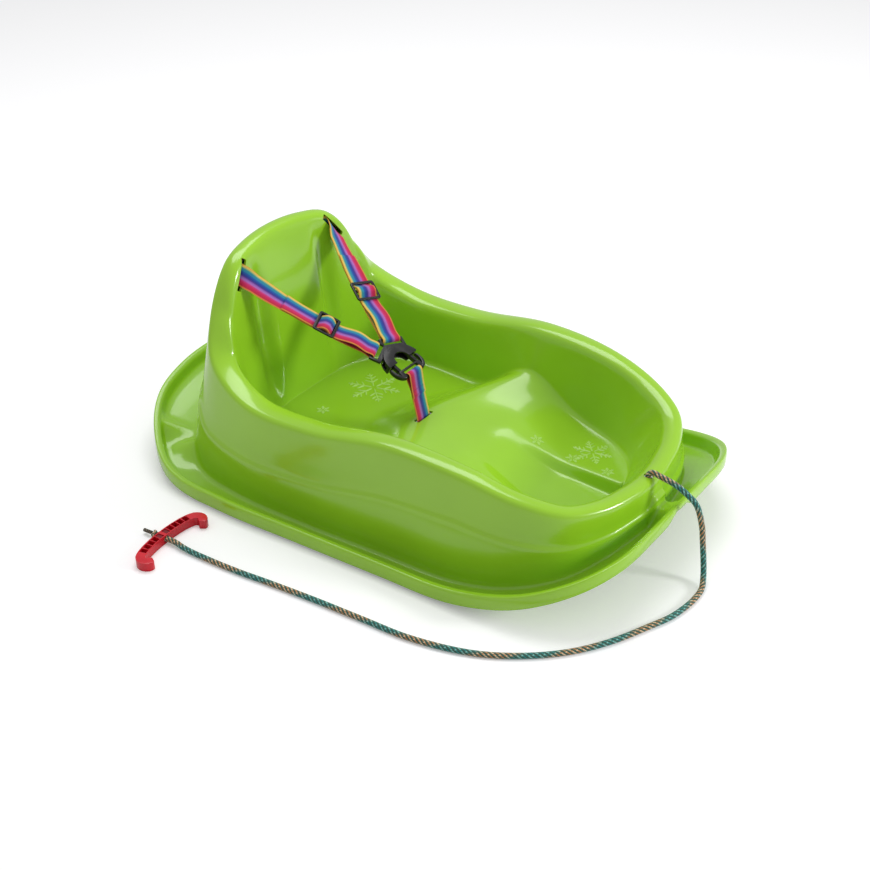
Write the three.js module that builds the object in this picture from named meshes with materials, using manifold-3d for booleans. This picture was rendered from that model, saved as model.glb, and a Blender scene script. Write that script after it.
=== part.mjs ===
import * as THREE from 'three';
import { mergeVertices } from 'three/addons/utils/BufferGeometryUtils.js';
import Module from 'manifold-3d';

// Baby pull sled: one moulded sheet hull with a three point harness and a pull rope.
// Millimetres, +X forward, +Y left, +Z up; x = 0 is mid length and the runners stand on z = 0.

const HULL_LONG = 721;
const HULL_WIDE = 480;
const RIM_HIGH = 273;

// Half outlines run from the rear centre to the front centre, as shares of half the hull's
// length, half its width and the rim's height.
const LIP_SHARES = [
  [-1, 0], [-0.985, 0.317], [-0.932, 0.592], [-0.827, 0.8], [-0.66, 0.967], [-0.399, 1],
  [-0.075, 0.977], [0.258, 0.95], [0.566, 0.925], [0.779, 0.854], [0.924, 0.7], [0.99, 0.504],
  [0.999, 0.25], [0.999, 0.142], [1, 0.083], [1, 0.042], [1, 0],
];
const BODY_SHARES = [
  [-0.788, 0], [-0.782, 0.258], [-0.766, 0.475], [-0.716, 0.642], [-0.616, 0.767], [-0.405, 0.825],
  [-0.114, 0.821], [0.191, 0.792], [0.46, 0.767], [0.666, 0.7], [0.807, 0.567], [0.874, 0.371],
  [0.904, 0.175], [0.91, 0.121], [0.912, 0.075], [0.913, 0.04], [0.913, 0],
];
const RIM_SHARES = [
  [-0.705, 0, 1], [-0.693, 0.217, 0.989], [-0.669, 0.396, 0.949], [-0.644, 0.562, 0.769],
  [-0.577, 0.692, 0.601], [-0.394, 0.775, 0.491], [-0.117, 0.783, 0.487], [0.189, 0.758, 0.553],
  [0.455, 0.733, 0.538], [0.652, 0.679, 0.48], [0.793, 0.558, 0.43], [0.865, 0.362, 0.403],
  [0.895, 0.167, 0.394], [0.9, 0.117, 0.392], [0.902, 0.075, 0.391], [0.904, 0.04, 0.39],
  [0.904, 0, 0.39],
];
const FLOOR_SHARES = [
  [-0.546, 0], [-0.544, 0.188], [-0.53, 0.35], [-0.494, 0.487], [-0.416, 0.567], [-0.269, 0.6],
  [-0.061, 0.588], [0.18, 0.571], [0.405, 0.554], [0.552, 0.5], [0.655, 0.408], [0.71, 0.283],
  [0.73, 0.125], [0.734, 0.083], [0.736, 0.052], [0.736, 0.027], [0.736, 0],
];
const SEGMENT_STEPS = [3, 3, 3, 3, 3, 3, 3, 3, 3, 3, 3, 2, 1, 1, 1, 1];

// Flange, wall and rim.
const SHEET = 3;
const BED_RINGS = [7, 8];
const LIP_HEIGHT = 22.6;
const SKIRT_GAP = 3;
const LIP_WIDTH = 10;
const LIP_ROUND = 2.5;
const LIP_DRAFT = 1.4;
const TROUGH_ROUND = 4.5;
const WALL_ROUND = 7;
const FRONT_RISE = 70;
const FRONT_RISE_SHARES = [0.404, 0.619];
const REAR_RISE = 50;
const REAR_RISE_SHARES = [-0.498, 0.491];
const REAR_STEP = 9;
const REAR_CREST = 4;
const REAR_STEP_SHARES = [-0.571, -0.644];
const REAR_SIDE_SHARES = [0.7, 0.783];
const BRIDGE_SHARES = [0.86, 0.888];
const BRIDGE_DROP = 1;
const BRIDGE_HALF = 10;
const BRIDGE_SIDE = 10;
const NOTCH_HIGH = 12;
const NOTCH_HALF = 8;
const NOTCH_SIDE = 26;
const KEEL = 4;
const KEEL_HALF = 10;
const KEEL_SIDE = 10;
const CREASE_SHARES = [
  0.36, 0.36, 0.37, 0.38, 0.4, 0.43, 0.47, 0.55, 0.6, 0.56, 0.5, 0.46, 0.44, 0.44, 0.44, 0.44, 0.44,
];
const CREASE_STEP = 3.5;
const CREASE_BAND = 4;
const UPPER_WALL_SHARE = 0.55;
const RIM_ROUND = 9;
const RIM_WIDTH = 36;
const RIM_WIDTH_SHARES = [
  0.67, 0.67, 0.67, 0.75, 0.92, 1, 0.94, 0.86, 0.81, 0.75, 0.72, 0.72, 0.72, 0.72, 0.72, 0.72, 0.72,
];

// Backrest panel and folds, then the seat, its hump and the foot well.
const PANEL_BULGE = 8;
const PANEL_HALF = 44;
const PANEL_SHARES = [-0.51, -0.427];
const FOLD_WIDE = 14;
const FOLD_DEPTH = 9;
const FOLD_SPAN = 40;
const SEAT_Z = 45;
const HUMP_Z = 70;
const HUMP_SHARE = -0.008;
const HUMP_HALF = 137;
const HUMP_SIDE_RISE = 24;
const HUMP_SWEEP = 68;
const HUMP_RAMP = 82;
const HUMP_POWER = 1.6;
const SHELF_Z = 46;
const SHELF_RAMP = 80;
const SHELF_SHARES = [0.208, 0.513];
const WELL_DEEP = 17;
const WELL_START = 32;
const WELL_END_SHARE = 0.72;
const WELL_RUN_SHARES = [0.166, 0.61];
const WELL_HALVES = [12, 38];
const WELL_SIDES = [38, 9.5];
const SWEEP_SHARES = [-0.4, 0.613];
const SPINE_SHARES = [-0.455, 0.71];
const OUTER_ROW_SHARES = [0.88, 0.6, 0.3];
const SIDE_ROW_SHARES = [1, 0.68, 0.32, 0];
const MIDDLE_ROW_SHARES = [0.45];
const INNER_REACH_SHARE = 0.82;
const INNER_WALL_SHARES = [0.3, 0.62, 0.85, 0.95];

// Webbing and its slots in the hull.
const WEBBING_W = 26;
const WEBBING_T = 1.2;
const LAYER = 1.9;
const CLEAR = 0.5;
const FACE_GAP = 0.3;
const CUT = 16;
const SLOT_SHARES = [-0.607, 0.371, 0.894];
const SLOT_TILT = 37;
const SLOT_LONG = 43.5;
const SLOT_WIDE = 12.5;
const SLOT_LEAD = 6;
const CROTCH_BACK = 2.5;
const CROTCH_SLOT_WIDE = 8;

// Buckle: distances d run down the harness from the middle of the housing.
const BUCKLE_SHARES = [-0.132, 0.524];
const BUCKLE_TILT = 25;
const LUG_D = -24;
const LUG_Y = 17;
const LUG_BAR = 3.6;
const LUG_T = 3.2;
const LUG_SLOT = 7;
const LUG_RAIL = 3.4;
const WRAP_R = 3.8;
const HOUSING_R = 28;
const HOUSING_D = 12;
const HOUSING_T = 12;
const MOUTH_D = 10;
const CAVITY_HALF = 21.5;
const CAVITY_D = -3.5;
const CAVITY_T = 7.8;
const WINDOW_D = -2.5;
const WINDOW_LONG = 8.5;
const ARCH_R = 12;
const ROUND_SIDES = 40;
const ARM_ROOM = 0.7;
const ARM_HALF = 14.5;
const ARM_WIDE = 4;
const ARM_ROOT = 5;
const ARM_HEAD = 9.5;
const PLUG_D = 20;
const PLUG_LONG = 11.5;
const PLUG_HALF = 20.5;
const PLUG_T = 5;
const PLUG_RAIL = 2.3;
const PLUG_BAR = 3.1;
const PLUG_BAR_T = 3.5;

// Shoulder straps, sliders and the anchor under the seat.
const STRAP_SAG = 6;
const TWIST_SHARES = [0.09, 0.42];
const TWIST_PART_SHARE = 0.45;
const FLAT_SHARES = [0.8, 0.93];
const PASS_DEEP = 21;
const PASS_RISE = 3.5;
const PASS_SHARES = [
  [0.165, 1.022, 0.74], [0.32, 1.03, 1], [0.5, 1.015, 1], [0.62, 0.96, 1],
  [0.7, 0.87, 1], [0.83, 0.68, 1], [0.94, 0.45, 1], [1, 0.213, 1],
];
const SLIDER_RIGHT_SHARE = 0.62;
const SLIDER_LEFT_SHARE = 0.55;
const SLIDER_LONG = 29.2;
const SLIDER_RAIL = 3.4;
const SLIDER_BAR = 4;
const SLIDER_T = 2.4;
const SLIDER_ROOM = 1.2;
const STRAP_STEPS = 14;
const WRAP_STEPS = 6;
const TAIL_LONG = 44;
const BULGE = 5;
const STITCHED = 20;
const TACK = 11.4;
const ANCHOR_R = 3;
const ANCHOR_END_R = 5.4;
const ANCHOR_LONG = 44;
const ANCHOR_GAP = 0.4;
const ANCHOR_SIDES = 16;
const CROTCH_TURN = 340;

// Rope: first the points from the mouth of the hole in the front rim, then those from the
// foremost edge of the lip, with their height over the ground.
const ROPE_D = 7;
const ROPE_SIDES = 8;
const ROPE_STEPS = 72;
const HOLE_D = 11;
const HOLE_SIDES = 20;
const MOUTH_ROUTE = [
  [-0.3, 0, -2], [-0.3, 0, 0], [0.9, 0, 3.1], [4.4, 0, 5.8], [8.6, 0, 6], [14.6, 0, 4.8],
  [27, 0, 2.9], [40, 0, -0.8], [52, -0.2, -6.9], [63, -0.5, -14.9],
];
const GROUND_ROUTE = [
  [27.5, -1.5, 68], [32, -3.5, 48], [36.5, -6, 27], [42.5, -14, 10],
  [49, -30, 4.2], [50.5, -48, 3.7], [49.5, -64.5, 3.6], [43.5, -94, 3.6], [32, -121.5, 3.6],
  [9, -170, 3.6], [-18.5, -209.5, 3.6], [-57, -245, 3.6], [-104.5, -273, 3.6], [-172.5, -292, 3.6],
  [-236.5, -297.5, 3.6], [-300, -302.5, 3.6], [-361, -309, 3.6], [-405.5, -314.5, 3.6],
  [-443.7, -317.5, 3.7], [-477.5, -319.2, 4.2], [-490, -319.2, 5.2], [-501, -318.1, 5.8],
  [-526.2, -319.6, 5.8],
];
const TAIL_ROUTE = [[-538.4, -320.4, 5.8], [-545, -320.8, 5.4], [-551, -320.6, 4.8]];
const TAIL_STEPS = 5;
const HULL_KNOT_RS = [7, 7.5, 6.5];
const KNOT_RS = [5.5, 5.6, 5.4];
const KNOT_GAP = 0.9;
const STOP_KNOT = [-532.5, -320, 5.8];

// Pull handle: half of its bowed middle line, as shares of its half length and its bow.
const HANDLE_AT = [-510, -318.6];
const HANDLE_TURN = 3.5;
const HANDLE_HALF = 52;
const HANDLE_BOW = 24;
const HANDLE_SHARES = [
  [0.846, 0.542], [0.962, 0.396], [1, 0.146], [0.942, -0.104], [0.808, -0.25],
  [0.615, -0.354], [0.327, -0.438], [0, -0.458],
];
const HANDLE_WIDE = 11.5;
const HANDLE_END_SHARE = 0.35;
const HANDLE_T = 11.6;
const HANDLE_STEPS = 32;
const HANDLE_HOLE = 8.4;
const POCKET_COUNT = 4;
const POCKET_START = 13.5;
const POCKET_PITCH = 8;
const POCKET_LONG = 6.4;
const POCKET_WIDE = 7.6;
const POCKET_DEEP = 7.5;

const GREEN = { color: 0x7ed321, roughness: 0.25, metalness: 0 };
const BLACK = { color: 0x16161a, roughness: 0.45, metalness: 0 };
const CLOTH = { color: 0x6d4fa0, roughness: 0.85, metalness: 0 };
const ROPE = { color: 0x3f7f6f, roughness: 0.9, metalness: 0 };
const RED = { color: 0xc8102e, roughness: 0.3, metalness: 0 };

const HALF_LONG = HULL_LONG / 2;
const HALF_WIDE = HULL_WIDE / 2;
const WEBBING_ROOM = WEBBING_W / 2 + 2 * CLEAR;
const HUMP_X = HUMP_SHARE * HALF_LONG;
const RIM_FRONT = RIM_SHARES[RIM_SHARES.length - 1];
const RIM_FRONT_Z = RIM_FRONT[2] * RIM_HIGH;
const FRONT_RIM_WIDE = RIM_WIDTH_SHARES[RIM_WIDTH_SHARES.length - 1] * RIM_WIDTH;
const HOLE_X = RIM_FRONT[0] * HALF_LONG - (FRONT_RIM_WIDE - CREASE_BAND) / 2;

const wasm = await Module();
wasm.setup();

const vec = (p) => new THREE.Vector3(p[0], p[1], p[2] ?? 0);
const radians = THREE.MathUtils.degToRad;

function smooth(a, b, x) {
  const t = Math.min(Math.max((x - a) / (b - a), 0), 1);
  return t * t * (3 - 2 * t);
}

function lerp(a, b, t) {
  return a + (b - a) * t;
}

function span(range, t) {
  return lerp(range[0], range[1], t);
}

function along(shares, x) {
  return smooth(shares[0] * HALF_LONG, shares[1] * HALF_LONG, x);
}

function within(half, side, y) {
  return 1 - smooth(half, half + side, Math.abs(y));
}

// The hull sheet: rings of points from the lip, over the rim, down into the tub.

function closedCurve(shares) {
  const far = shares.map(([x, y, z]) => new THREE.Vector3(x * HALF_LONG, y * HALF_WIDE, (z ?? 0) * RIM_HIGH));
  const near = far.map((p) => new THREE.Vector3(p.x, -p.y, p.z));
  return new THREE.CatmullRomCurve3([...near, ...far.slice(1, -1).reverse()], true, 'centripetal');
}

const STATION_PLACES = SEGMENT_STEPS.flatMap(
  (steps, i) => Array.from({ length: steps }, (_, k) => i + k / steps),
);
const HALF_COUNT = STATION_PLACES.length;
const AROUND = 2 * HALF_COUNT;
const SEGMENTS = 2 * SEGMENT_STEPS.length;
const PLACES = [
  ...STATION_PLACES,
  SEGMENT_STEPS.length,
  ...STATION_PLACES.slice(1).reverse().map((s) => SEGMENTS - s),
];

function sampleLoop(shares) {
  const curve = closedCurve(shares);
  return PLACES.map((s) => curve.getPoint(s / SEGMENTS));
}

function sampleValues(values) {
  return PLACES.map((s) => {
    const at = s > SEGMENTS / 2 ? SEGMENTS - s : s;
    const low = Math.min(Math.floor(at), values.length - 2);
    return lerp(values[low], values[low + 1], at - low);
  });
}

function inwardNormals(loop) {
  return loop.map((p, i) => {
    const next = loop[(i + 1) % AROUND];
    const back = loop[(i + AROUND - 1) % AROUND];
    return new THREE.Vector3(back.y - next.y, next.x - back.x, 0).normalize();
  });
}

function shift(loop, normals, inward, heightOf) {
  return loop.map((p, i) => {
    const d = typeof inward === 'function' ? inward(i) : inward;
    const q = p.clone().addScaledVector(normals[i], d);
    q.z = heightOf(q, i, p);
    return q;
  });
}

function rise(x) {
  const [front, frontRun] = FRONT_RISE_SHARES.map((share) => share * HALF_LONG);
  const [rear, rearRun] = REAR_RISE_SHARES.map((share) => share * HALF_LONG);
  const ahead = Math.max(x - front, 0) / frontRun;
  const behind = Math.max(rear - x, 0) / rearRun;
  return FRONT_RISE * ahead * ahead + REAR_RISE * behind * behind;
}

function flangeStep(p) {
  const [inner, outer] = REAR_SIDE_SHARES.map((share) => share * HALF_WIDE);
  const middle = within(inner, outer - inner, p.y);
  const crest = smooth(inner - REAR_STEP, inner, Math.abs(p.y)) * middle;
  const rear = along(REAR_STEP_SHARES, p.x) * (REAR_STEP * middle + 2 * REAR_CREST * crest);
  const bridge = along(BRIDGE_SHARES, p.x) * within(BRIDGE_HALF, BRIDGE_SIDE, p.y);
  return rear + (LIP_HEIGHT - SHEET - BRIDGE_DROP) * bridge;
}

function skirtNotch(p) {
  return NOTCH_HIGH * along(BRIDGE_SHARES, p.x) * within(NOTCH_HALF, NOTCH_SIDE, p.y);
}

function keel(p) {
  return KEEL * along(BRIDGE_SHARES, p.x) * within(KEEL_HALF, KEEL_SIDE, p.y);
}

function flangeRings() {
  const lip = sampleLoop(LIP_SHARES);
  const lipIn = inwardNormals(lip);
  const base = sampleLoop(BODY_SHARES);
  const baseIn = inwardNormals(base);
  const top = (q) => rise(q.x) + LIP_HEIGHT;
  const bed = (q) => rise(q.x) + SHEET + flangeStep(q);
  const level = (drop) => (q) => Math.min(Math.max(top(q) - drop, bed(q)), top(q));
  const floor = (lift) => (q) => Math.max(bed(q), Math.min(bed(q) + lift, top(q) - LIP_ROUND));
  const out = (d) => (i) => -d - keel(base[i]);
  return [
    shift(lip, lipIn, 0, (q) => rise(q.x) + SKIRT_GAP + skirtNotch(q)),
    shift(lip, lipIn, LIP_DRAFT / 3, (q) => top(q) - LIP_ROUND),
    shift(lip, lipIn, LIP_ROUND, top),
    shift(lip, lipIn, LIP_WIDTH - LIP_ROUND, top),
    shift(lip, lipIn, LIP_WIDTH, level(LIP_ROUND)),
    shift(lip, lipIn, LIP_WIDTH + LIP_DRAFT, floor(TROUGH_ROUND)),
    shift(lip, lipIn, LIP_WIDTH + 2 * LIP_DRAFT, floor(TROUGH_ROUND / 3)),
    shift(lip, lipIn, LIP_WIDTH + TROUGH_ROUND + LIP_DRAFT, bed),
    shift(base, baseIn, out(WALL_ROUND), bed),
    shift(base, baseIn, out(WALL_ROUND / 3), (q) => bed(q) + WALL_ROUND / 4),
    shift(base, baseIn, out(0), (q) => bed(q) + WALL_ROUND),
  ];
}

function wallRings(foot, rim, rimIn) {
  const crease = sampleValues(CREASE_SHARES);
  const height = foot.map((p, i) => rim[i].z - RIM_ROUND - p.z);
  const at = (share, out) => foot.map((p, i) => {
    const t = share(i);
    const q = p.clone().lerp(rim[i], t);
    q.addScaledVector(rimIn[i], -out);
    q.z = p.z + height[i] * t;
    return q;
  });
  const band = (i) => CREASE_BAND / height[i];
  return [
    at((i) => crease[i] - band(i), CREASE_STEP),
    at((i) => crease[i], CREASE_STEP / 2),
    at((i) => crease[i] + band(i) / 2, 0),
    at((i) => lerp(crease[i], 1, UPPER_WALL_SHARE), 0),
  ];
}

function rimRings(rim, rimIn) {
  const wide = sampleValues(RIM_WIDTH_SHARES).map((share) => share * RIM_WIDTH);
  const inner = (less) => (i) => wide[i] - less;
  return [
    shift(rim, rimIn, 0, (q, i, p) => p.z - RIM_ROUND),
    shift(rim, rimIn, RIM_ROUND / 9, (q, i, p) => p.z - RIM_ROUND / 2.6),
    shift(rim, rimIn, RIM_ROUND / 2, (q, i, p) => p.z),
    shift(rim, rimIn, inner(RIM_WIDTH / 3), (q, i, p) => p.z + RIM_ROUND / 6),
    shift(rim, rimIn, inner(RIM_ROUND / 2), (q, i, p) => p.z - RIM_ROUND / 9),
    shift(rim, rimIn, inner(RIM_ROUND / 9), (q, i, p) => p.z - RIM_ROUND / 2),
    shift(rim, rimIn, inner(-RIM_ROUND / 6), (q, i, p) => p.z - RIM_ROUND * 1.2),
  ];
}

function floorHeight(x, y) {
  const side = Math.abs(y);
  const out = Math.min(side / HUMP_HALF, 1);
  const crestX = HUMP_X + HUMP_SWEEP * out ** HUMP_POWER;
  const crestZ = HUMP_Z + HUMP_SIDE_RISE * out * out;
  if (x < crestX) {
    return lerp(SEAT_Z, crestZ, smooth(crestX - HUMP_RAMP, crestX, x));
  }
  const shelf = lerp(HUMP_Z, SHELF_Z, along(SHELF_SHARES, x));
  const shoulder = (crestZ - HUMP_Z) * (1 - smooth(crestX, crestX + SHELF_RAMP, x));
  const run = along(WELL_RUN_SHARES, x);
  const down = smooth(crestX + WELL_START, WELL_END_SHARE * HALF_LONG, x);
  return shelf + shoulder - WELL_DEEP * down * within(span(WELL_HALVES, run), span(WELL_SIDES, run), side);
}

function floorRowShares(x, reach) {
  const run = along(WELL_RUN_SHARES, x);
  const half = span(WELL_HALVES, run);
  const sideways = span(WELL_SIDES, run);
  const full = Math.max(reach, SHEET);
  const scale = Math.min(full * INNER_REACH_SHARE / (half + sideways), 1);
  return [
    ...OUTER_ROW_SHARES.map((share) => lerp((half + sideways) * scale, full, share)),
    ...SIDE_ROW_SHARES.map((share) => (half + sideways * share) * scale),
    ...MIDDLE_ROW_SHARES.map((share) => half * share * scale),
  ].map((y) => y / full);
}

function innerWallRings(edge, outline) {
  return INNER_WALL_SHARES.map((share) => edge.map((p, i) => {
    const q = p.clone().lerp(outline[i], share);
    const panel = within(PANEL_HALF, FOLD_WIDE, q.y);
    const fold = (1 - panel) * within(PANEL_HALF + FOLD_SPAN - FOLD_WIDE, FOLD_WIDE, q.y);
    const rear = 1 - along(PANEL_SHARES, q.x);
    q.x += (PANEL_BULGE * panel - FOLD_DEPTH * fold) * rear * Math.sin(Math.PI * share);
    return q;
  }));
}

function floorRing(outline, row) {
  const crestEnd = HUMP_X + HUMP_SWEEP;
  const [rear, front] = SPINE_SHARES.map((share) => share * HALF_LONG);
  const [sweepRear, sweepFront] = SWEEP_SHARES.map((share) => share * HALF_LONG);
  return outline.map((p) => {
    const share = floorRowShares(p.x, Math.abs(p.y))[row];
    const spine = new THREE.Vector3(Math.min(Math.max(p.x, rear), front), 0, 0);
    const q = spine.lerp(p, share);
    const sweep = smooth(sweepRear, crestEnd, p.x) * smooth(sweepFront, crestEnd, p.x);
    q.x -= HUMP_SWEEP * sweep * (1 - share ** HUMP_POWER);
    q.z = floorHeight(q.x, q.y);
    return q;
  });
}

function tubRings(edge) {
  const outline = sampleLoop(FLOOR_SHARES);
  outline.forEach((p) => {
    p.z = floorHeight(p.x, p.y);
  });
  const rings = innerWallRings(edge, outline);
  const rows = OUTER_ROW_SHARES.length + SIDE_ROW_SHARES.length + MIDDLE_ROW_SHARES.length;
  for (let row = 0; row < rows; row += 1) {
    rings.push(floorRing(outline, row));
  }
  return rings;
}

function hullRings() {
  const flange = flangeRings();
  const foot = flange[flange.length - 1];
  const rim = sampleLoop(RIM_SHARES);
  const rimIn = inwardNormals(rim);
  const crown = rimRings(rim, rimIn);
  const tub = tubRings(crown[crown.length - 1]);
  return [...flange, ...wallRings(foot, rim, rimIn), ...crown, ...tub];
}

function quadFaces(points, a, b) {
  const c = b + AROUND;
  const d = a + AROUND;
  if (points[a].distanceTo(points[c]) > points[b].distanceTo(points[d])) {
    return [[a, b, d], [b, c, d]];
  }
  return [[a, b, c], [a, c, d]];
}

function stripFaces(points, rows) {
  const faces = [];
  for (let r = 0; r < rows - 1; r += 1) {
    for (let i = 0; i < AROUND; i += 1) {
      faces.push(...quadFaces(points, r * AROUND + i, r * AROUND + (i + 1) % AROUND));
    }
  }
  const last = (rows - 1) * AROUND;
  for (let i = 0; i < HALF_COUNT; i += 1) {
    const far = (AROUND - i) % AROUND;
    const next = AROUND - i - 1;
    if (i + 1 !== next) {
      faces.push([last + i, last + i + 1, last + next]);
    }
    if (far !== i) {
      faces.push([last + i, last + next, last + far]);
    }
  }
  return faces;
}

function fromFaces(points, faces) {
  const geometry = new THREE.BufferGeometry().setFromPoints(points);
  geometry.setIndex(faces.flat());
  return geometry;
}

function hullSheet() {
  const rings = hullRings();
  const top = rings.flat();
  const faces = stripFaces(top, rings.length);
  const geometry = fromFaces(top, faces);
  geometry.computeVertexNormals();
  const normal = geometry.getAttribute('normal');
  const under = top.map((p, i) => {
    const flat = BED_RINGS.includes(Math.floor(i / AROUND));
    const n = flat ? new THREE.Vector3(0, 0, 1) : new THREE.Vector3().fromBufferAttribute(normal, i);
    return p.clone().addScaledVector(n, -SHEET);
  });
  const count = top.length;
  const back = faces.map((f) => [f[0] + count, f[2] + count, f[1] + count]);
  const edge = [];
  for (let i = 0; i < AROUND; i += 1) {
    const j = (i + 1) % AROUND;
    edge.push([i, i + count, j + count], [i, j + count, j]);
  }
  return fromFaces([...top, ...under], [...faces, ...back, ...edge]);
}

// Solids: geometries become closed solids only to be joined and cut.

function toManifold(geometry) {
  const bare = new THREE.BufferGeometry();
  bare.setAttribute('position', geometry.getAttribute('position').clone());
  if (geometry.index) {
    bare.setIndex(geometry.index.clone());
  }
  const merged = mergeVertices(bare);
  return new wasm.Manifold(new wasm.Mesh({
    numProp: 3,
    vertProperties: new Float32Array(merged.getAttribute('position').array),
    triVerts: new Uint32Array(merged.index.array),
  }));
}

function fromManifold(solid) {
  const mesh = solid.getMesh();
  const geometry = new THREE.BufferGeometry();
  const positions = [];
  for (let i = 0; i < mesh.numVert; i += 1) {
    positions.push(...mesh.vertProperties.slice(i * mesh.numProp, i * mesh.numProp + 3));
  }
  geometry.setAttribute('position', new THREE.Float32BufferAttribute(positions, 3));
  geometry.setIndex(Array.from(mesh.triVerts));
  return geometry;
}

function carve(bodies, cutters) {
  const [first, ...rest] = bodies.map(toManifold);
  const whole = rest.reduce((solid, part) => solid.add(part), first);
  return fromManifold(cutters.map(toManifold).reduce((solid, tool) => solid.subtract(tool), whole));
}

function block(x, y, z) {
  const box = new THREE.BoxGeometry(x[1] - x[0], y[1] - y[0], z[1] - z[0]);
  return box.translate((x[0] + x[1]) / 2, (y[0] + y[1]) / 2, (z[0] + z[1]) / 2);
}

function both(half) {
  return [-half, half];
}

function upright(radius, high, sides) {
  return new THREE.CylinderGeometry(radius, radius, high, sides).rotateX(Math.PI / 2);
}

function plate(shape, thick, bottom, steps) {
  const solid = new THREE.ExtrudeGeometry(shape, { depth: thick, bevelEnabled: false, curveSegments: steps });
  return solid.translate(0, 0, bottom);
}

function roundedShape(halfX, halfY, radius) {
  const shape = new THREE.Shape();
  [[1, 1], [-1, 1], [-1, -1], [1, -1]].forEach(([x, y], turn) => {
    const from = turn * Math.PI / 2;
    shape.absarc(x * (halfX - radius), y * (halfY - radius), radius, from, from + Math.PI / 2);
  });
  return shape;
}

function frameMatrix(origin, x, y, z) {
  return new THREE.Matrix4().makeBasis(x, y, z).setPosition(origin);
}

// A flat strip that follows its stations; each station has a point and a width direction.

function ribbon(stations) {
  const points = [];
  const faces = [];
  stations.forEach((s, i) => {
    const back = stations[Math.max(i - 1, 0)].at;
    const next = stations[Math.min(i + 1, stations.length - 1)].at;
    const ahead = next.clone().sub(back).normalize();
    const wide = s.wide.clone().addScaledVector(ahead, -ahead.dot(s.wide)).normalize();
    const up = ahead.clone().cross(wide);
    for (const [w, t] of [[-1, -1], [1, -1], [1, 1], [-1, 1]]) {
      const p = s.at.clone().addScaledVector(wide, w * WEBBING_W / 2);
      points.push(p.addScaledVector(up, t * WEBBING_T / 2));
    }
  });
  for (let i = 0; i < stations.length - 1; i += 1) {
    for (let k = 0; k < 4; k += 1) {
      const a = 4 * i + k;
      const b = 4 * i + ((k + 1) % 4);
      faces.push([a, b, b + 4], [a, b + 4, a + 4]);
    }
  }
  const end = 4 * (stations.length - 1);
  faces.push([0, 2, 1], [0, 3, 2], [end, end + 1, end + 2], [end, end + 2, end + 3]);
  return fromFaces(points, faces);
}

// The buckle has its own frame: d towards the crotch strap, y to the left, n off its face.

const BUCKLE_AT = new THREE.Vector3(BUCKLE_SHARES[0] * HALF_LONG, 0, BUCKLE_SHARES[1] * RIM_HIGH);
const BUCKLE_DOWN = new THREE.Vector3(Math.cos(radians(BUCKLE_TILT)), 0, -Math.sin(radians(BUCKLE_TILT)));
const BUCKLE_UP = new THREE.Vector3(Math.sin(radians(BUCKLE_TILT)), 0, Math.cos(radians(BUCKLE_TILT)));
const LEFT = new THREE.Vector3(0, 1, 0);
const BUCKLE_FRAME = frameMatrix(BUCKLE_AT, BUCKLE_DOWN, LEFT, BUCKLE_UP);

function bucklePoint(d, y) {
  return new THREE.Vector3(d, y, 0).applyMatrix4(BUCKLE_FRAME);
}

// Shoulder straps: distances s run from the slot in the backrest to the buckle lug.

function slotCentre(side) {
  const [x, y, z] = SLOT_SHARES;
  return new THREE.Vector3(x * HALF_LONG, side * y * HALF_WIDE, z * RIM_HIGH);
}

function slotEdge(side) {
  return new THREE.Vector3(0, Math.sin(radians(SLOT_TILT)), -side * Math.cos(radians(SLOT_TILT)));
}

function strapLine(side) {
  const end = bucklePoint(LUG_D, side * LUG_Y);
  const slot = slotCentre(side);
  const line = end.clone().sub(slot).normalize();
  const start = slot.addScaledVector(line, SLOT_LEAD);
  return { start, end, line, long: start.distanceTo(end) };
}

function strapBase(side) {
  const { start, end, line, long } = strapLine(side);
  const flat = line.clone().addScaledVector(BUCKLE_UP, -line.dot(BUCKLE_UP)).normalize();
  const top = BUCKLE_UP.clone().addScaledVector(line, -line.dot(BUCKLE_UP)).normalize();
  const edge = slotEdge(side).addScaledVector(line, -line.dot(slotEdge(side))).normalize();
  const onEdge = line.clone().cross(edge);
  const upNear = (share) => {
    const turned = 1 - smooth(0, TWIST_SHARES[0], share);
    const rest = TWIST_PART_SHARE * (1 - smooth(TWIST_SHARES[0], TWIST_SHARES[1], share));
    return top.clone().lerp(onEdge, Math.max(turned, rest)).normalize();
  };
  return (s) => {
    const share = s / long;
    const taut = start.clone().addScaledVector(line, s);
    taut.z -= 4 * STRAP_SAG * share * (1 - share);
    const mix = smooth(FLAT_SHARES[0], FLAT_SHARES[1], share);
    const at = taut.lerp(end.clone().addScaledVector(flat, s - long), mix);
    const ahead = line.clone().lerp(flat, mix).normalize();
    const wide = upNear(share).lerp(BUCKLE_UP, mix).normalize().cross(ahead).normalize();
    return { at, up: ahead.clone().cross(wide).normalize(), wide };
  };
}

const SLIDER_BOTTOM = LAYER + WEBBING_T / 2 + CLEAR;
const BAR_UP = SLIDER_T + 2 * CLEAR + LAYER + WEBBING_T;
const BAR_NEAR = SLIDER_BAR / 2 + SLIDER_ROOM;
const BAR_FAR = SLIDER_LONG / 2 - SLIDER_RAIL - SLIDER_ROOM;

function barLift(away) {
  return BAR_UP * Math.min(Math.max((BAR_FAR - away) / (BAR_FAR - BAR_NEAR), 0), 1);
}

function strapStops(long, middle, from) {
  const stops = [BAR_NEAR, BAR_FAR, BAR_FAR + SLIDER_RAIL].flatMap((d) => [middle - d, middle + d]);
  for (let i = 0; i <= STRAP_STEPS; i += 1) {
    const s = lerp(from, long, i / STRAP_STEPS);
    if (Math.abs(s - middle) > SLIDER_LONG / 2 + SLIDER_RAIL) {
      stops.push(s);
    }
  }
  return stops.filter((s) => s >= from).sort((a, b) => a - b);
}

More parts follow.
